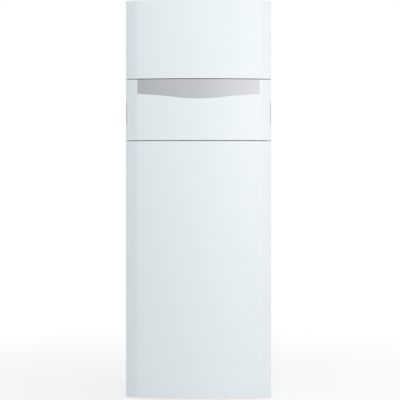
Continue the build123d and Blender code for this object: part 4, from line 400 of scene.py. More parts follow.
PAINT = (0.848, 0.884, 0.904)
PALE_GREY = (0.50, 0.51, 0.52)
ANTHRACITE = (0.055, 0.06, 0.065)
CERAMIC = (0.78, 0.77, 0.72)
BAND_GREY = (0.41, 0.415, 0.42)
BAND_SCRATCHES = (6.0, 900.0, 1300.0)
DRUM_SCRATCHES = (500.0, 500.0, 6.0)
LOOKS = {
    "white_enamel": powder_coat("white powder coat", PAINT, rough=0.42),
    "white_moulding": moulding("white flap moulding", PAINT, rough=0.4, grain=700.0, depth=0.03, tone=0.008),
    "silver_band": brushed("silver band", BAND_GREY, BAND_SCRATCHES, rough=0.46, metallic=0.75),
    "grey_grip": moulding("grey grip", PALE_GREY, rough=0.5, grain=1200.0, depth=0.08),
    "galvanised": galvanised("galvanised sheet", (0.60, 0.62, 0.63)),
    "steel_parts": bare_metal("zinc plated steel", (0.62, 0.62, 0.60), dull=(0.45, 0.45, 0.44)),
    "black_plastic": moulding("black moulding", (0.022, 0.022, 0.024), rough=0.45, grain=1000.0, depth=0.08),
    "dark_control": moulding("anthracite moulding", ANTHRACITE, rough=0.48, grain=1000.0, depth=0.08),
    "key_cap": moulding("grey key caps", PALE_GREY, rough=0.4, grain=1400.0, depth=0.03),
    "display": dark_pane("display pane"),
    "board": circuit_board("circuit board"),
    "rubber_foot": moulding("black rubber", (0.02, 0.02, 0.02), rough=0.75, grain=500.0, depth=0.2),
    "copper_pipe": bare_metal("copper tube", (0.78, 0.42, 0.27), dull=(0.45, 0.22, 0.13), rough=0.22),
    "brass_parts": casting("cast brass", (0.72, 0.55, 0.26), metallic=1.0, rough=0.34),
    "gas_yellow": powder_coat("yellow coated tube", (0.75, 0.50, 0.03)),
    "foam_jacket": foil_jacket("foil covered foam", (0.62, 0.63, 0.63)),
    "blue_enamel": powder_coat("blue enamelled steel", (0.05, 0.10, 0.24), rough=0.25),
    "vessel_red": powder_coat("red vessel paint", (0.42, 0.025, 0.02), rough=0.28),
    "pump_iron": casting("painted pump iron", (0.10, 0.17, 0.14), metallic=0.1, rough=0.4),
    "aluminium_cast": casting("cast aluminium", (0.62, 0.63, 0.64)),
    "stainless": brushed("stainless steel", (0.62, 0.61, 0.60), DRUM_SCRATCHES, rough=0.26),
    "grey_plastic": moulding("grey technical moulding", (0.11, 0.115, 0.12), rough=0.5),
    "white_ceramic": moulding("white ceramic", CERAMIC, rough=0.25, grain=500.0, depth=0.02, tone=0.02),
    "red_plastic": moulding("red moulding", (0.50, 0.02, 0.015), rough=0.38),
    "zinc_screw": bare_metal("bright zinc screws", (0.70, 0.70, 0.68), dull=(0.50, 0.50, 0.47)),
    "flue_white": powder_coat("white flue coating", (0.80, 0.81, 0.81)),
}


def paint(thing, slot):
    """Gives an object the look of one of the record's material slots."""
    thing.data.materials.clear()
    thing.data.materials.append(LOOKS[slot])


for name, thing in frame["nodes"].items():
    paint(thing, slot_of[name])


# Meshes and soft edges


def new_thing(name, points, faces):
    """A smooth shaded object in the scene, from points in metres and its faces."""
    mesh = bpy.data.meshes.new(name)
    mesh.from_pydata(points, [], faces)
    mesh.polygons.foreach_set("use_smooth", [True] * len(mesh.polygons))
    thing = bpy.data.objects.new(name, mesh)
    bpy.context.scene.collection.objects.link(thing)
    return thing


def bevelled(thing, width, angle):
    """Rounds the edges that turn by more than an angle in degrees, over a width in millimetres."""
    bevel = thing.modifiers.new("edges", "BEVEL")
    bevel.width = width * MM
    bevel.segments = 2
    bevel.limit_method = "ANGLE"
    bevel.angle_limit = math.radians(angle)
    bevel.harden_normals = True
    bevel.use_clamp_overlap = True


# Points this near in millimetres are one, faces within these degrees are one plane
SAME_POINT = 0.002
SAME_PLANE = 0.6
# Edges that turn by more degrees are rounded, on solids and on new pieces
SOLID_EDGE = 32.0
DETAIL_EDGE = 35.0


def softened(node, width):
    """A merged copy of a solid with its flat areas joined and its edges rounded by a real bevel."""
    source = frame["nodes"][node]
    points = np.empty(3 * len(source.data.vertices), np.float32)
    source.data.vertices.foreach_get("co", points)
    triangles = np.empty(len(source.data.loops), np.int32)
    source.data.loops.foreach_get("vertex_index", triangles)
    piece = new_thing(node + "_soft", points.reshape(-1, 3).tolist(), triangles.reshape(-1, 3).tolist())
    join = piece.modifiers.new("join", "WELD")
    join.merge_threshold = SAME_POINT * MM
    flat = piece.modifiers.new("flat", "DECIMATE")
    flat.decimate_type = "DISSOLVE"
    flat.angle_limit = math.radians(SAME_PLANE)
    bevelled(piece, width, SOLID_EDGE)
    paint(piece, slot_of[node])
    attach(piece, source["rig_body"])
    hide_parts(node)


# Widths of the rounded edges, in millimetres
EDGE_WIDTHS = {
    "upper_front_panel": 0.7,
    "lower_front_panel": 0.7,
    "control_flap": 0.8,
    "flap_trim": 0.25,
    "finger_grips": 0.5,
    "side_panel_left": 0.4,
    "side_panel_right": 0.4,
    "top_cover": 0.5,
    "rear_panel": 0.4,
    "base_frame": 0.6,
    "equipment_shelf": 0.5,
    "front_posts": 0.4,
    "flap_arms": 0.5,
    "flap_catches": 0.5,
    "electronics_box": 0.8,
    "control_fascia": 0.8,
    "power_rocker": 0.4,
    "flue_adapter": 0.4,
    "cable_glands": 0.3,
    "air_silencer": 1.0,
    "gas_valve": 0.8,
    "diverter_valve": 0.8,
    "condensate_sump": 1.0,
    "burner_door": 0.8,
    "fan_housing": 0.8,
    "heating_pump": 1.0,
    "charging_pump": 1.0,
    "foot_front_left": 0.5,
    "foot_front_right": 0.5,
    "foot_rear_left": 0.5,
    "foot_rear_right": 0.5,
}
for node, width in EDGE_WIDTHS.items():
    softened(node, width)


# Shapes

SIDES = (-1, 1)
AXES = {
    "x": ((0, 1, 0), (0, 0, 1), (1, 0, 0)),
    "-x": ((0, 0, 1), (0, 1, 0), (-1, 0, 0)),
    "y": ((0, 0, 1), (1, 0, 0), (0, 1, 0)),
    "-y": ((1, 0, 0), (0, 0, 1), (0, -1, 0)),
    "z": ((1, 0, 0), (0, 1, 0), (0, 0, 1)),
}
AT_HIGH = np.array([(n & 1, n & 2, n & 4) for n in range(8)], bool)
BLOCK_FACES = ((0, 2, 3, 1), (4, 5, 7, 6), (0, 1, 5, 4), (2, 6, 7, 3), (0, 4, 6, 2), (1, 3, 7, 5))


def band(below, above):
    """The faces between two closed rows of point numbers. A row of a single point gives triangles."""
    sides = [below, np.roll(below, -1), np.roll(above, -1), above]
    first = int(below[0] == below[-1])
    last = 4 - int(above[0] == above[-1])
    return np.stack(sides[first:last], axis=1)


def around(centre, radius, count, start=0.0):
    """Places at even steps round a centre: centre + radius * (cos, sin) of start + 2 pi n / count."""
    turn = start + 2 * math.pi * np.arange(count) / count
    return np.array(centre) + radius * np.stack([np.cos(turn), np.sin(turn)], axis=1)


class Shape:
    """Points and faces of one piece in millimetres, gathered part by part. Parts count from the place at."""

    def __init__(self, at=(0.0, 0.0, 0.0)):
        self.at = at
        self.points = np.empty((0, 3))
        self.faces = []

    def part(self, points, *groups):
        """Adds points and their faces, given as arrays with one face in a row."""
        for faces in groups:
            self.faces.extend((len(self.points) + np.array(faces)).tolist())
        self.points = np.concatenate([self.points, points + np.array(self.at)])

    def block(self, one, other):
        """A box between two opposite corners."""
        low, high = np.minimum(one, other), np.maximum(one, other)
        self.part(np.where(AT_HIGH, high, low), BLOCK_FACES)

    def radial_block(self, angle, low, high):
        """A box turned by an angle about the upright axis, its corners as radius, sideways place and height.

        A corner lies at radius * (cos, sin) + sideways * (-sin, cos) of the angle.
        """
        radius, sideways, height = np.where(AT_HIGH, high, low).T
        x = radius * math.cos(angle) - sideways * math.sin(angle)
        y = radius * math.sin(angle) + sideways * math.cos(angle)
        self.part(np.stack([x, y, height], axis=1), BLOCK_FACES)

    def turned(self, outline, axis="z", steps=32, loop=False, lobes=0, swell=0.0, centre=(0.0, 0.0, 0.0)):
        """An outline of (radius, distance) pairs turned about an axis, up its outside and down its inside.

        A point lies at centre + distance * along + wave * (cos(angle) * across + sin(angle) * up).
        The wave is radius + swell * cos(lobes * angle). A radius of zero is a closed pole of one point.
        """
        across, up, along = AXES[axis]
        radius, distance = np.array(outline, float).T
        angle = 2 * math.pi * np.arange(steps) / steps
        open_row = (radius > 0)[:, None]
        wave = open_row * (radius[:, None] + swell * np.cos(lobes * angle))
        spoke = np.outer(np.cos(angle), across) + np.outer(np.sin(angle), up)
        grid = np.array(centre) + np.outer(distance, along)[:, None] + wave[..., None] * spoke
        kept = open_row | (np.arange(steps) == 0)
        number = np.cumsum(kept).reshape(kept.shape) - 1
        following = np.roll(number, -1, axis=0) if loop else number[1:]
        self.part(grid[kept], *(band(below, above) for below, above in zip(number, following)))

    def nut(self, axis, bore, reach, length, centre=(0.0, 0.0, 0.0)):
        """A hexagon nut round a pipe, its six corners out at the reach and cut at both ends."""
        cut = 0.12 * reach
        outline = [(bore, 0.0), (reach - cut, 0.0), (reach, cut)]
        outline += [(reach, length - cut), (reach - cut, length), (bore, length)]
        self.turned(outline, axis, steps=6, loop=True, centre=centre)

    def piece(self, name, body, slot, bevel=0.0, look=None, smooth=40.0):
        """The gathered shape as an object that rides a body and wears the look of a slot."""
        thing = new_thing(name, (MM * self.points).tolist(), self.faces)
        thing.data.set_sharp_from_angle(angle=math.radians(smooth))
        paint(thing, slot)
        if look:
            thing.data.materials[0] = look
        if bevel:
            bevelled(thing, bevel, DETAIL_EDGE)
        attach(thing, body)


# The back

BEAD_RISE = 1.0
REAR_SHEET = corners("rear_panel")[1][1] - BEAD_RISE
BEADS = 5
BEAD_STEPS = np.linspace(corners("base_frame")[1][2], corners("rear_panel")[1][2], BEADS + 2)
BEAD_HALF_LENGTH = corners("rear_panel")[1][0] - 60.0
BEAD_FLAT = 7.3
BEAD_REACH = 12.5
BEAD_HEIGHT = 1.3
BEAD_SUNK = 0.05
BEAD_RINGS = 8
BEAD_END_POINTS = 15


def rear_beads():
    """Soft shoulders of the pressed beads: outlines at a growing distance r from each bead's centre line.

    Their height falls from the bead's flat to the sheet as 3 s^2 - 2 s^3, where s goes from 1 to 0 with r.
    """
    shape = Shape()
    turn = np.linspace(-math.pi / 2, math.pi / 2, BEAD_END_POINTS)
    reach = np.linspace(BEAD_FLAT, BEAD_REACH, BEAD_RINGS)
    share = (BEAD_REACH - reach) / (BEAD_REACH - BEAD_FLAT)
    x = BEAD_HALF_LENGTH + np.outer(reach, np.cos(turn))
    z = np.outer(reach, np.sin(turn))
    x, z = np.hstack([x, -x]), np.hstack([z, -z])
    y = np.broadcast_to(BEAD_HEIGHT * (share**2 * (3 - 2 * share))[:, None], x.shape)
    grid = np.stack([x, y, z], axis=-1)
    number = np.arange(x.size).reshape(x.shape)
    caps = number[:1, ::-1], number[-1:]
    walls = [band(inner, outer) for inner, outer in zip(number, number[1:])]
    for level in BEAD_STEPS[1:-1]:
        shape.at = (0.0, REAR_SHEET - BEAD_SUNK, level)
        shape.part(grid.reshape(-1, 3), *caps, *walls)
    shape.piece("rear_beads", "cabinet", "galvanised", smooth=60.0)


# Pumps and valves

PUMP_HALF = 45.0
PUMP_MOTOR_HEIGHT = 45.0
PUMPS = (
    (corners("heating_pump")[0][0] + PUMP_HALF, middle("heating_pump")[1]),
    (corners("charging_pump")[1][0] - PUMP_HALF, middle("charging_pump")[1]),
)
PUMP_DECK = corners("charging_pump")[1][2] - PUMP_MOTOR_HEIGHT
PUMP_SCREW_CIRCLE = 39.6
DIVERTER = (75.0, middle("diverter_valve")[1])
DIVERTER_RISE = corners("diverter_valve")[1][2] - PUMP_DECK
VESSEL_VALVE = (-182.0, middle("expansion_vessel")[1], corners("expansion_vessel")[0][2] + 190.0)


def diverter_motor():
    """The moulded motor housing over the diverter valve's actuator, with its ring and cable socket."""
    shape = Shape(at=(*DIVERTER, PUMP_DECK))
    shape.block((-22.0, -26.0, 6.0), (22.0, 26.0, DIVERTER_RISE + 3.0))
    shape.block((-14.0, -31.0, 12.0), (2.0, -25.0, 26.0))
    ring = [(17.0, -0.1), (20.0, 0.4), (20.0, 6.4), (17.0, 6.9)]
    shape.turned(ring, steps=72, loop=True, lobes=24, swell=0.35)
    button = [(0.0, 2.5), (6.0, 2.5), (6.0, 5.0), (5.2, 5.6), (0.0, 5.6)]
    shape.turned(button, steps=24, centre=(8.0, 0.0, DIVERTER_RISE))
    shape.piece("diverter_motor", "cabinet", "dark_control", 0.8)


def pump_bolts():
    """Four socket screws round the motor of each pump."""
    shape = Shape()
    head = [(0.0, -0.5), (3.2, -0.5), (3.2, 4.0), (2.8, 4.4), (1.7, 4.4), (1.7, 2.6), (0.0, 2.6)]
    for pump in PUMPS:
        for x, y in around(pump, PUMP_SCREW_CIRCLE, 4, start=math.pi / 4):
            shape.at = (x, y, PUMP_DECK)
            shape.turned(head, steps=16)
    shape.piece("pump_bolts", "cabinet", "zinc_screw")


def pump_heads():
    """A terminal box, a cap ring and a speed knob on each pump's motor."""
    boxes = Shape()
    knobs = Shape()
    cap = [(0.0, 44.5), (13.0, 44.5), (13.0, 47.0), (12.0, 48.0), (0.0, 48.0)]
    knob = [(0.0, 47.5), (6.4, 47.5), (6.4, 49.0), (6.0, 49.5), (0.0, 49.5)]
    for pump in PUMPS:
        boxes.at = knobs.at = (*pump, PUMP_DECK)
        boxes.block((24.0, -17.0, 8.0), (46.0, 17.0, 36.0))
        boxes.turned(cap, steps=40)
        knobs.turned(knob, steps=40, lobes=10, swell=0.3)
    boxes.piece("pump_terminals", "cabinet", "black_plastic", 1.2)
    knobs.piece("pump_knobs", "cabinet", "red_plastic")


def vessel_valve():
    """The filling valve of the expansion vessel with its cap."""
    shape = Shape(at=VESSEL_VALVE)
    stem = [(0.0, 0.0), (4.0, 0.0), (4.0, 6.0)]
    cap = [(6.0, 6.5), (6.0, 16.0), (5.0, 17.0), (0.0, 17.0)]
    shape.turned(stem + cap, "x")
    shape.piece("vessel_valve", "cabinet", "black_plastic")


# Burner side: drum, sump, fan and air way

DRUM = middle("heat_exchanger")[:2]
DRUM_ENDS = (corners("heat_exchanger")[0][2] + 6.0, corners("heat_exchanger")[1][2] - 3.0)
SUMP_JOINT = corners("condensate_sump")[1][2]
SUMP_CLIPS = 6
FAN = middle("fan_impeller")[:2]
MOTOR_TOP = corners("fan_motor")[1][2]
SILENCER_LEFT = 202.0
SILENCER_RIGHT = 257.0
SILENCER_FRONT, SILENCER_BOTTOM = corners("air_silencer")[0][1:]
SILENCER_BACK = corners("air_silencer")[1][1]
RIBS = 7
RIB_STEP = 29.0
MOUTH_BARS = 5
BAR_STEP = 19.0
DUCT_RADIUS = 20.0
DUCT_LEVEL = corners("air_silencer")[1][2] - DUCT_RADIUS
DUCT_CLAMPS = (80.0, 168.0)
MOTOR_FINS = 18
FIN_CIRCLE = 24.0


def drum_clamps():
    """Clamp rings at both ends of the heat exchanger's drum."""
    shape = Shape()
    ring = [(129.6, -5.0), (131.2, -5.0), (133.0, -3.0), (133.0, 3.0), (131.2, 5.0), (129.6, 5.0)]
    for level in DRUM_ENDS:
        shape.at = (*DRUM, level)
        shape.turned(ring, steps=96, loop=True)
    shape.piece("drum_clamps", "cabinet", "stainless")


def sump_clips():
    """Spring clips that hold the sump under the drum, each a foot, a back, a bridge and a thumb plate."""
    shape = Shape(at=(*DRUM, SUMP_JOINT))
    for n in range(SUMP_CLIPS):
        turn = (2 * n + 1) * math.pi / SUMP_CLIPS
        shape.radial_block(turn, (124.6, -7.0, -14.0), (127.2, 7.0, -1.5))
        shape.radial_block(turn, (131.0, -7.0, -12.0), (132.4, 7.0, 14.0))
        shape.radial_block(turn, (127.0, -7.0, -12.0), (131.2, 7.0, -10.4))
        shape.radial_block(turn, (128.4, -9.0, 12.2), (134.6, 9.0, 14.6))
    shape.piece("sump_clips", "cabinet", "stainless", 0.4)


def motor_plug():
    """The plug of the fan's motor, and a ring of cooling fins on its crown."""
    shape = Shape(at=(*FAN, MOTOR_TOP))
    shape.block((-12.0, -54.0, -34.0), (12.0, -38.0, -18.0))
    for x, y in around(FAN, FIN_CIRCLE, MOTOR_FINS):
        shape.at = (x, y, MOTOR_TOP)
        shape.block((-1.5, -1.5, -2.0), (1.5, 1.5, 2.5))
    shape.piece("motor_plug", "cabinet", "black_plastic", 0.5)


def silencer_ribs():
    """Stiffening ribs on the air silencer's flank, and the bars across its mouth."""
    shape = Shape()
    left, right, front, back = SILENCER_LEFT, SILENCER_RIGHT, SILENCER_FRONT, SILENCER_BACK
    for n in range(RIBS):
        z = SILENCER_BOTTOM + 22.0 + n * RIB_STEP
        shape.block((right - 0.2, front + 6.0, z), (right + 1.3, back - 6.0, z + 2.2))
    for n in range(MOUTH_BARS):
        z = SILENCER_BOTTOM + 70.0 + n * BAR_STEP
        shape.block((left + 13.0, front + 0.3, z), (right - 13.0, front + 2.2, z + 3.0))
    shape.piece("silencer_ribs", "cabinet", "grey_plastic", 0.4)


def duct_clamps():
    """Worm drive clamps at the ends of the air duct's straight run: band, housing and hexagon screw."""
    shape = Shape()
    wrap = [(19.8, 0.0), (21.2, 0.0), (21.2, 8.0), (19.8, 8.0)]
    screw = [(0.0, 0.0), (3.0, 0.0), (3.0, 4.0), (0.0, 4.0)]
    for x in DUCT_CLAMPS:
        shape.at = (x, DRUM[1], DUCT_LEVEL)
        shape.turned(wrap, "x", steps=48, loop=True)
        shape.block((-1.0, -7.0, 20.6), (9.0, 7.0, 25.0))
        shape.turned(screw, "-y", steps=6, centre=(4.0, -6.5, 22.8))
    shape.piece("duct_clamps", "cabinet", "stainless", 0.3)


# Unions inside the casing

# Bore, reach and length of the nuts
UNION_NUT = (10.8, 17.0, 14.0)
GAS_NUT = (8.8, 14.5, 12.0)
LEDGE_NUT = (10.8, 16.2, 10.8)
PIPE_RADIUS = 11.0
GAS_PIPE_RADIUS = 9.0
PIPE_LEVEL = corners("cold_water_pipe")[0][2] + PIPE_RADIUS
FLOW_END = corners("heating_flow_pipe")[1][0]
FLOW_LEVEL = corners("heating_flow_pipe")[0][2] + 16.0
GAS_RISER = (267.0, corners("gas_pipe")[0][1] + GAS_PIPE_RADIUS, corners("gas_pipe")[0][2] + 0.5)
UPRIGHT_PIPES = {
    "heating_return_pipe": PUMPS[0][0],
    "cold_water_pipe": middle("cold_water_pipe")[0],
    "hot_water_pipe": middle("hot_water_pipe")[0],
}


def union_nuts():
    """Hexagon nuts where the pipes meet the pumps, the plates, the drum and the gas valve."""
    shape = Shape()
    for pipe, x in UPRIGHT_PIPES.items():
        shape.nut("y", *UNION_NUT, centre=(x, corners(pipe)[0][1] + 1.0, PIPE_LEVEL))
    shape.nut("-x", *UNION_NUT, centre=(FLOW_END - 2.0, DRUM[1], FLOW_LEVEL))
    shape.nut("z", *GAS_NUT, centre=GAS_RISER)
    shape.piece("union_nuts", "cabinet", "brass_parts")


# Cylinder and electronics box

TANK_AXIS = middle("anode_rod")[:2]
JACKET_RADIUS = corners("cylinder_jacket")[1][0]
STRAP_LEVELS = (170.0, 540.0, 900.0)
BOX_TOP = corners("electronics_box")[1][2]
LOUVRES = 12
LOUVRE_START = 70.0
LOUVRE_STEP = 11.0
LOUVRE_SPAN = (corners("electronics_box")[0][1] + 22.0, corners("electronics_box")[1][1] - 26.0)


def jacket_straps():
    """Three straps round the cylinder's jacket."""
    shape = Shape()
    inner, outer = JACKET_RADIUS - 0.4, JACKET_RADIUS + 0.9
    for level in STRAP_LEVELS:
        shape.at = (*TANK_AXIS, level)
        shape.turned([(inner, -12.0), (outer, -11.5), (outer, 11.5), (inner, 12.0)], steps=120, loop=True)
    shape.piece("jacket_straps", "cabinet", "black_plastic")


def strap_buckles():
    """Buckles of the jacket straps: two bars, and three posts between them."""
    shape = Shape()
    for level in STRAP_LEVELS:
        shape.at = (0.0, TANK_AXIS[1] - JACKET_RADIUS, level)
        for side in SIDES:
            shape.block((-20.0, -4.6, side * 15.0), (20.0, -0.2, side * 12.4))
        for x in (-20.0, -1.5, 17.0):
            shape.block((x, -4.2, -13.0), (x + 3.0, -0.6, 13.0))
    shape.piece("strap_buckles", "cabinet", "dark_control", 0.5)


def box_louvres():
    """Two groups of louvre ribs on the electronics box."""
    shape = Shape(at=(0.0, 0.0, BOX_TOP))
    front, back = LOUVRE_SPAN
    for side in SIDES:
        for n in range(LOUVRES):
            x = side * (LOUVRE_START + LOUVRE_STEP * n)
            shape.block((x - 2.2, front, -0.2), (x + 2.2, back, 1.5))
    shape.piece("box_louvres", "cabinet", "dark_control", 0.5)


# Connections on the ledge

LEDGE = corners("top_cover")[0][2] + 1.2
TUBE_RADII = {
    "heating_flow": PIPE_RADIUS,
    "hot_water_outlet": PIPE_RADIUS,
    "gas_inlet": GAS_PIPE_RADIUS,
    "cold_water_inlet": PIPE_RADIUS,
    "heating_return": PIPE_RADIUS,
}
PIPE_TOP = corners("gas_pipe")[1][2]
THREADS = 12
THREAD_PITCH = 1.8
THREAD_BOTTOM = PIPE_TOP - THREADS * THREAD_PITCH - 0.1
THREAD_RIDGE = ((13.25, 0.0), (13.95, 0.6), (13.95, 0.85), (13.25, 1.5))
FLUE = mounts["flue_socket"][:2]
FLUE_TOP = corners("flue_adapter")[1][2]
# Depth, radius of the wall, radius of the tip, half height at the wall and at the tip, steps round
FLUE_LIPS = (
    (-21.0, 30.25, 28.7, 2.0, 0.6, 64),
    (-10.0, 30.25, 28.7, 2.0, 0.6, 64),
    (-15.0, 49.45, 47.9, 2.5, 0.7, 72),
)
TEST_PORTS = FLUE_TOP - 54.0
GLAND_TOP = corners("cable_glands")[1][2]


def pipe_unions():
    """Brass ends on the five pipes: twelve thread ridges over a hexagon."""
    shape = Shape()
    outline = [(12.6, -0.6)]
    for n in range(THREADS):
        outline += [(radius, n * THREAD_PITCH + rise) for radius, rise in THREAD_RIDGE]
    end = PIPE_TOP + 0.1 - THREAD_BOTTOM
    outline += [(12.9, end), (11.6, end), (11.6, end - 1.8)]
    for mount in TUBE_RADII:
        shape.at = (*mounts[mount][:2], THREAD_BOTTOM)
        shape.turned(outline, steps=40, loop=True)
        shape.nut("z", *LEDGE_NUT, centre=(0.0, 0.0, -11.5))
    shape.piece("pipe_unions", "cabinet", "brass_parts")


def ledge_grommets():
    """Rubber rings that close the ledge's holes round the pipes."""
    shape = Shape()
    rim = [(16.6, 0.0), (17.4, 0.9), (16.9, 2.2), (15.0, 2.9)]
    for mount, radius in TUBE_RADII.items():
        inner = radius + 0.15
        shape.at = (*mounts[mount][:2], LEDGE)
        shape.turned([(inner, -1.8), *rim, (inner + 1.2, 3.4), (inner, 2.8)], loop=True)
    shape.piece("ledge_grommets", "cabinet", "rubber_foot")


def flue_seals():
    """Two lips in the flue socket, one in the air collar, from the wall's radius in to the tip's."""
    shape = Shape()
    for depth, wall, tip, foot, edge, steps in FLUE_LIPS:
        shape.at = (*FLUE, FLUE_TOP + depth)
        shape.turned([(wall, -foot), (wall, foot), (tip, edge), (tip, -edge)], steps=steps, loop=True)
    shape.piece("flue_seals", "cabinet", "rubber_foot")


def port_caps():
    """Knurled caps on the two test ports of the flue adapter."""
    shape = Shape(at=(*FLUE, TEST_PORTS))
    cap = [(0.0, 55.6), (5.1, 55.6), (6.0, 56.2), (6.0, 63.4), (4.4, 64.5), (0.0, 64.5)]
    for axis in ("-x", "x"):
        shape.turned(cap, axis, steps=48, lobes=16, swell=0.22)
    shape.piece("port_caps", "cabinet", "black_plastic")


def gland_domes():
    """Ribbed dome nuts on the cable glands, each with a rubber lip."""
    shape = Shape()
    lips = Shape()
    outside = [(8.0, -13.0), (10.4, -12.8), (10.4, -5.4), (9.3, -1.8), (7.6, 0.6)]
    mouth = [(5.6, 0.6), (5.6, -3.0)]
    lip = [(5.7, -2.0), (5.7, 0.0), (3.6, -0.8), (3.6, -1.4)]
    for name in sorted(mounts):
        if name.startswith("cable_gland"):
            shape.at = lips.at = (*mounts[name][:2], GLAND_TOP)
            shape.turned(outside + mouth, steps=60, loop=True, lobes=12, swell=0.25)
            lips.turned(lip, steps=24, loop=True)
    shape.piece("gland_domes", "cabinet", "grey_plastic")
    lips.piece("gland_lips", "cabinet", "rubber_foot")


# Controls behind the flap

FASCIA_FRONT = corners("control_fascia")[0][1]
WINDOW = front_face("display_module")
WINDOW_HALF_WIDTH = 60.2
WINDOW_HALF_HEIGHT = 33.2
LARGE_DIGIT = {"width": 13.0, "height": 24.0, "line": 2.6}
SMALL_DIGIT = {"width": 5.0, "height": 10.0, "line": 1.3}
# The bars of each digit, and the corners between which a bar runs, as shares of the digit's size
SEGMENTS = {"0": "abcdef", "1": "bc", "5": "acdfg", "6": "acdefg"}
SEGMENT_BARS = {
    "a": (0.0, 1.0, 1.0, 1.0),
    "b": (1.0, 0.5, 1.0, 1.0),
    "c": (1.0, 0.0, 1.0, 0.5),
    "d": (0.0, 0.0, 1.0, 0.0),
    "e": (0.0, 0.0, 0.0, 0.5),
    "f": (0.0, 0.5, 0.0, 1.0),
    "g": (0.0, 0.5, 1.0, 0.5),
}
KEY_BARS = {
    "key_minus": ((3.6, 0.7),),
    "key_plus": ((3.6, 0.7), (0.7, 3.6)),
    "key_select_left": ((5.0, 0.5),),
    "key_select_right": ((5.0, 0.5),),
}
ROCKER_PIVOT = np.array(joints["rocker_tilt"]["pos_m"]) / MM
ROCKER_LEAN = math.radians(joints["rocker_tilt"]["range_deg"][1] / 2)


def flat_mark(shape, x0, z0, x1, z1, rise=0.12):
    """A thin rectangular mark on the face that the shape's place lies in."""
    shape.block((x0, -rise, z0), (x1, 0.1, z1))


def digit(shape, text, x, z, width, height, line):
    """A digit of up to seven bars that end a little short of each other, its lower left corner at (x, z)."""
    half = line / 2
    gap = 0.6 * half
    for name in SEGMENTS[text]:
        u0, v0, u1, v1 = SEGMENT_BARS[name]
        wide = gap if u1 > u0 else -half
        tall = gap if v1 > v0 else -half
        left, right = x + u0 * width + wide, x + u1 * width - wide
        flat_mark(shape, left, z + v0 * height + tall, right, z + v1 * height - tall)


def display_marks():
    """What the display shows: a temperature, a pressure, a row of bars and two frame lines."""
    shape = Shape(at=WINDOW)
    digit(shape, "6", -34.0, -11.0, **LARGE_DIGIT)
    digit(shape, "0", -14.0, -11.0, **LARGE_DIGIT)
    degree = [(2.6, 0.0), (2.6, 0.15), (1.7, 0.15), (1.7, 0.0)]
    shape.turned(degree, "-y", steps=24, loop=True, centre=(5.0, 0.0, 11.0))
    digit(shape, "1", 24.0, 3.0, **SMALL_DIGIT)
    flat_mark(shape, 31.4, 2.6, 32.8, 4.0)
    digit(shape, "5", 35.0, 3.0, **SMALL_DIGIT)
    for n in range(8):
        flat_mark(shape, 22.0 + 3.0 * n, -11.0, 23.8 + 3.0 * n, -9.0 + 0.9 * n)
    for z in (-25.0, 22.0):
        flat_mark(shape, -50.0, z, 50.0, z + 0.5)
    for x in (-44.0, 26.0):
        flat_mark(shape, x, -30.5, x + 18.0, -29.0)
    shape.piece("display_marks", "cabinet", "display", look=lit_marks())


def display_bezel():
    """A raised frame round the display's window."""
    shape = Shape(at=(WINDOW[0], FASCIA_FRONT, WINDOW[2]))
    wide, tall = WINDOW_HALF_WIDTH, WINDOW_HALF_HEIGHT
    for side in SIDES:
        shape.block((side * wide, -1.2, -tall - 3.8), (side * (wide + 3.8), 0.5, tall + 3.8))
        shape.block((-wide - 0.8, -1.15, side * tall), (wide + 0.8, 0.4, side * (tall + 3.7)))
    shape.piece("display_bezel", "cabinet", "black_plastic", 0.5)


def key_marks():
    """A bar or a cross on each key cap, of bars given by half width and half height."""
    for key, bars in KEY_BARS.items():
        shape = Shape(at=front_face(key))
        for wide, tall in bars:
            flat_mark(shape, -wide, -tall, wide, tall, rise=0.15)
        shape.piece(key + "_mark", key, "dark_control")


def rocker_marks():
    """The stroke and the ring on the two flats of the power rocker, turned with it by half its travel.

    A point (y, z) goes to y cos - z sin, y sin + z cos of the lean.
    """
    shape = Shape()
    shape.block((-0.6, -5.31, 3.0), (0.6, -3.97, 7.6))
    ring = [(2.4, 2.978), (2.4, 5.31), (1.5, 5.31), (1.5, 2.978)]
    shape.turned(ring, "-y", steps=24, loop=True, centre=(0.0, 0.0, -5.2))
    x, y, z = shape.points.T
    cosine, sine = math.cos(ROCKER_LEAN), -math.sin(ROCKER_LEAN)
    shape.points = ROCKER_PIVOT + np.stack([x, y * cosine - z * sine, y * sine + z * cosine], axis=1)
    shape.piece("rocker_marks", "rocker", "key_cap")


for build in (
    rear_beads,
    diverter_motor,
    pump_bolts,
    sump_clips,
    silencer_ribs,
    duct_clamps,
    box_louvres,
    strap_buckles,
    pipe_unions,
    ledge_grommets,
    flue_seals,
    port_caps,
    gland_domes,
    display_marks,
    display_bezel,
    key_marks,
    rocker_marks,
    jacket_straps,
    drum_clamps,
    pump_heads,
    union_nuts,
    vessel_valve,
    motor_plug,
):
    build()


# Studio, in metres

FLOOR_RADIUS = 30.0
FLOOR_SIDES = 96
FADE_FROM = 0.6
FADE_TO = 2.6
WHITE = (1.0, 1.0, 1.0)
LENS = 143.0
LENS_SHIFT = (0.0036, -0.0617)
CAMERA_PLACE = (0.0, -6.86, 0.92)
KEY_PLACE = (1.82, -2.3, 1.5)
STRIP_PLACE = (0.95, -3.4, 1.3)
FILL_PLACE = (-0.5, -3.0, 2.7)
REAR_PLACE = (1.6, 3.2, 2.4)
KEY_AIM = (0.0, -0.3, 1.1)
FRONT_AIM = (0.0, -0.3, 1.2)
REAR_AIM = (0.0, 0.0, 1.0)


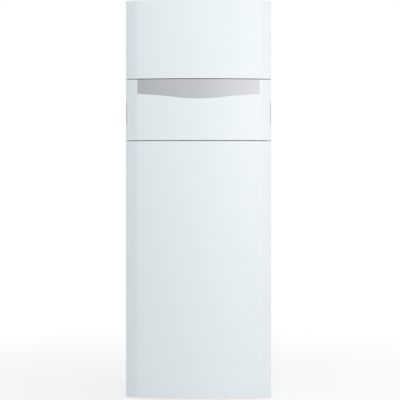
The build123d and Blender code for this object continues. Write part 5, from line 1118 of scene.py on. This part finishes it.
def stage_floor():
    """A pale round floor: it takes the boiler's shadow, and fades to white some metres away."""
    rim = np.pad(around((0.0, 0.0), FLOOR_RADIUS, FLOOR_SIDES), ((0, 0), (0, 1)))
    floor = new_thing("floor", rim.tolist(), [list(range(FLOOR_SIDES))])
    made = Finish("pale floor")
    across, deep, _ = made.separate()
    away = (across * across + deep * deep) ** 0.5
    reach = {"From Min": FADE_FROM, "From Max": FADE_TO, "To Min": 0.72, "To Max": 1.0}
    fade = made.node("ShaderNodeMapRange", "Result", Value=away, **reach)
    glow = made.node("ShaderNodeEmission", "Emission", Strength=1.0)
    shaders = {"Shader": made.shader.outputs[0], "Shader_001": glow}
    mixed = made.node("ShaderNodeMixShader", "Shader", Fac=fade * made.seen_directly(), **shaders)
    feed(made.tree, made.tree.nodes["Material Output"].inputs["Surface"], mixed)
    floor.data.materials.append(made.surface(Base_Color=(0.88, 0.88, 0.88), Roughness=0.6))


def softbox(name, place, aim, size, power, colour=WHITE):
    """A large rectangular lamp at a place, turned to a point. Its size is its width and height."""
    lamp = bpy.data.lights.new(name, "AREA")
    lamp.shape = "RECTANGLE"
    lamp.size, lamp.size_y = size
    lamp.energy = power
    lamp.color = colour
    thing = bpy.data.objects.new(name, lamp)
    thing.location = place
    direction = Vector(aim) - Vector(place)
    thing.rotation_euler = direction.to_track_quat("-Z", "Y").to_euler()
    bpy.context.scene.collection.objects.link(thing)


def studio_world(ambient, colour):
    """A white backdrop for the camera and for reflections, a plain level of cool light for the rest."""
    world = bpy.data.worlds.new("studio")
    world.use_nodes = True
    graph = Graph(world.node_tree)
    backdrop = graph.tree.nodes["Background"]
    tint = graph.blend(graph.seen_directly(), times(colour, ambient), WHITE)
    feed(graph.tree, backdrop.inputs["Color"], tint)
    backdrop.inputs["Strength"].default_value = 1.0
    bpy.context.scene.world = world


def camera():
    """A long lens straight before the boiler, a little above its middle."""
    lens = bpy.data.cameras.new("camera")
    lens.sensor_width = 36.0
    lens.lens = LENS
    lens.shift_x, lens.shift_y = LENS_SHIFT
    thing = bpy.data.objects.new("camera", lens)
    thing.location = CAMERA_PLACE
    thing.rotation_euler = (math.radians(90), 0.0, 0.0)
    bpy.context.scene.collection.objects.link(thing)
    bpy.context.scene.camera = thing


stage_floor()
studio_world(ambient=0.50, colour=(0.945, 1.0, 1.04))
softbox("key", KEY_PLACE, KEY_AIM, size=(1.2, 1.4), power=17.0, colour=(1.03, 1.0, 0.985))
softbox("strip", STRIP_PLACE, FRONT_AIM, size=(0.5, 1.4), power=8.0, colour=(1.02, 1.0, 0.99))
softbox("fill", FILL_PLACE, FRONT_AIM, size=(1.4, 1.2), power=17.5, colour=(0.96, 1.0, 1.02))
softbox("rear", REAR_PLACE, REAR_AIM, size=(2.0, 2.0), power=30.0)
camera()
bpy.context.scene.view_settings.view_transform = "Standard"
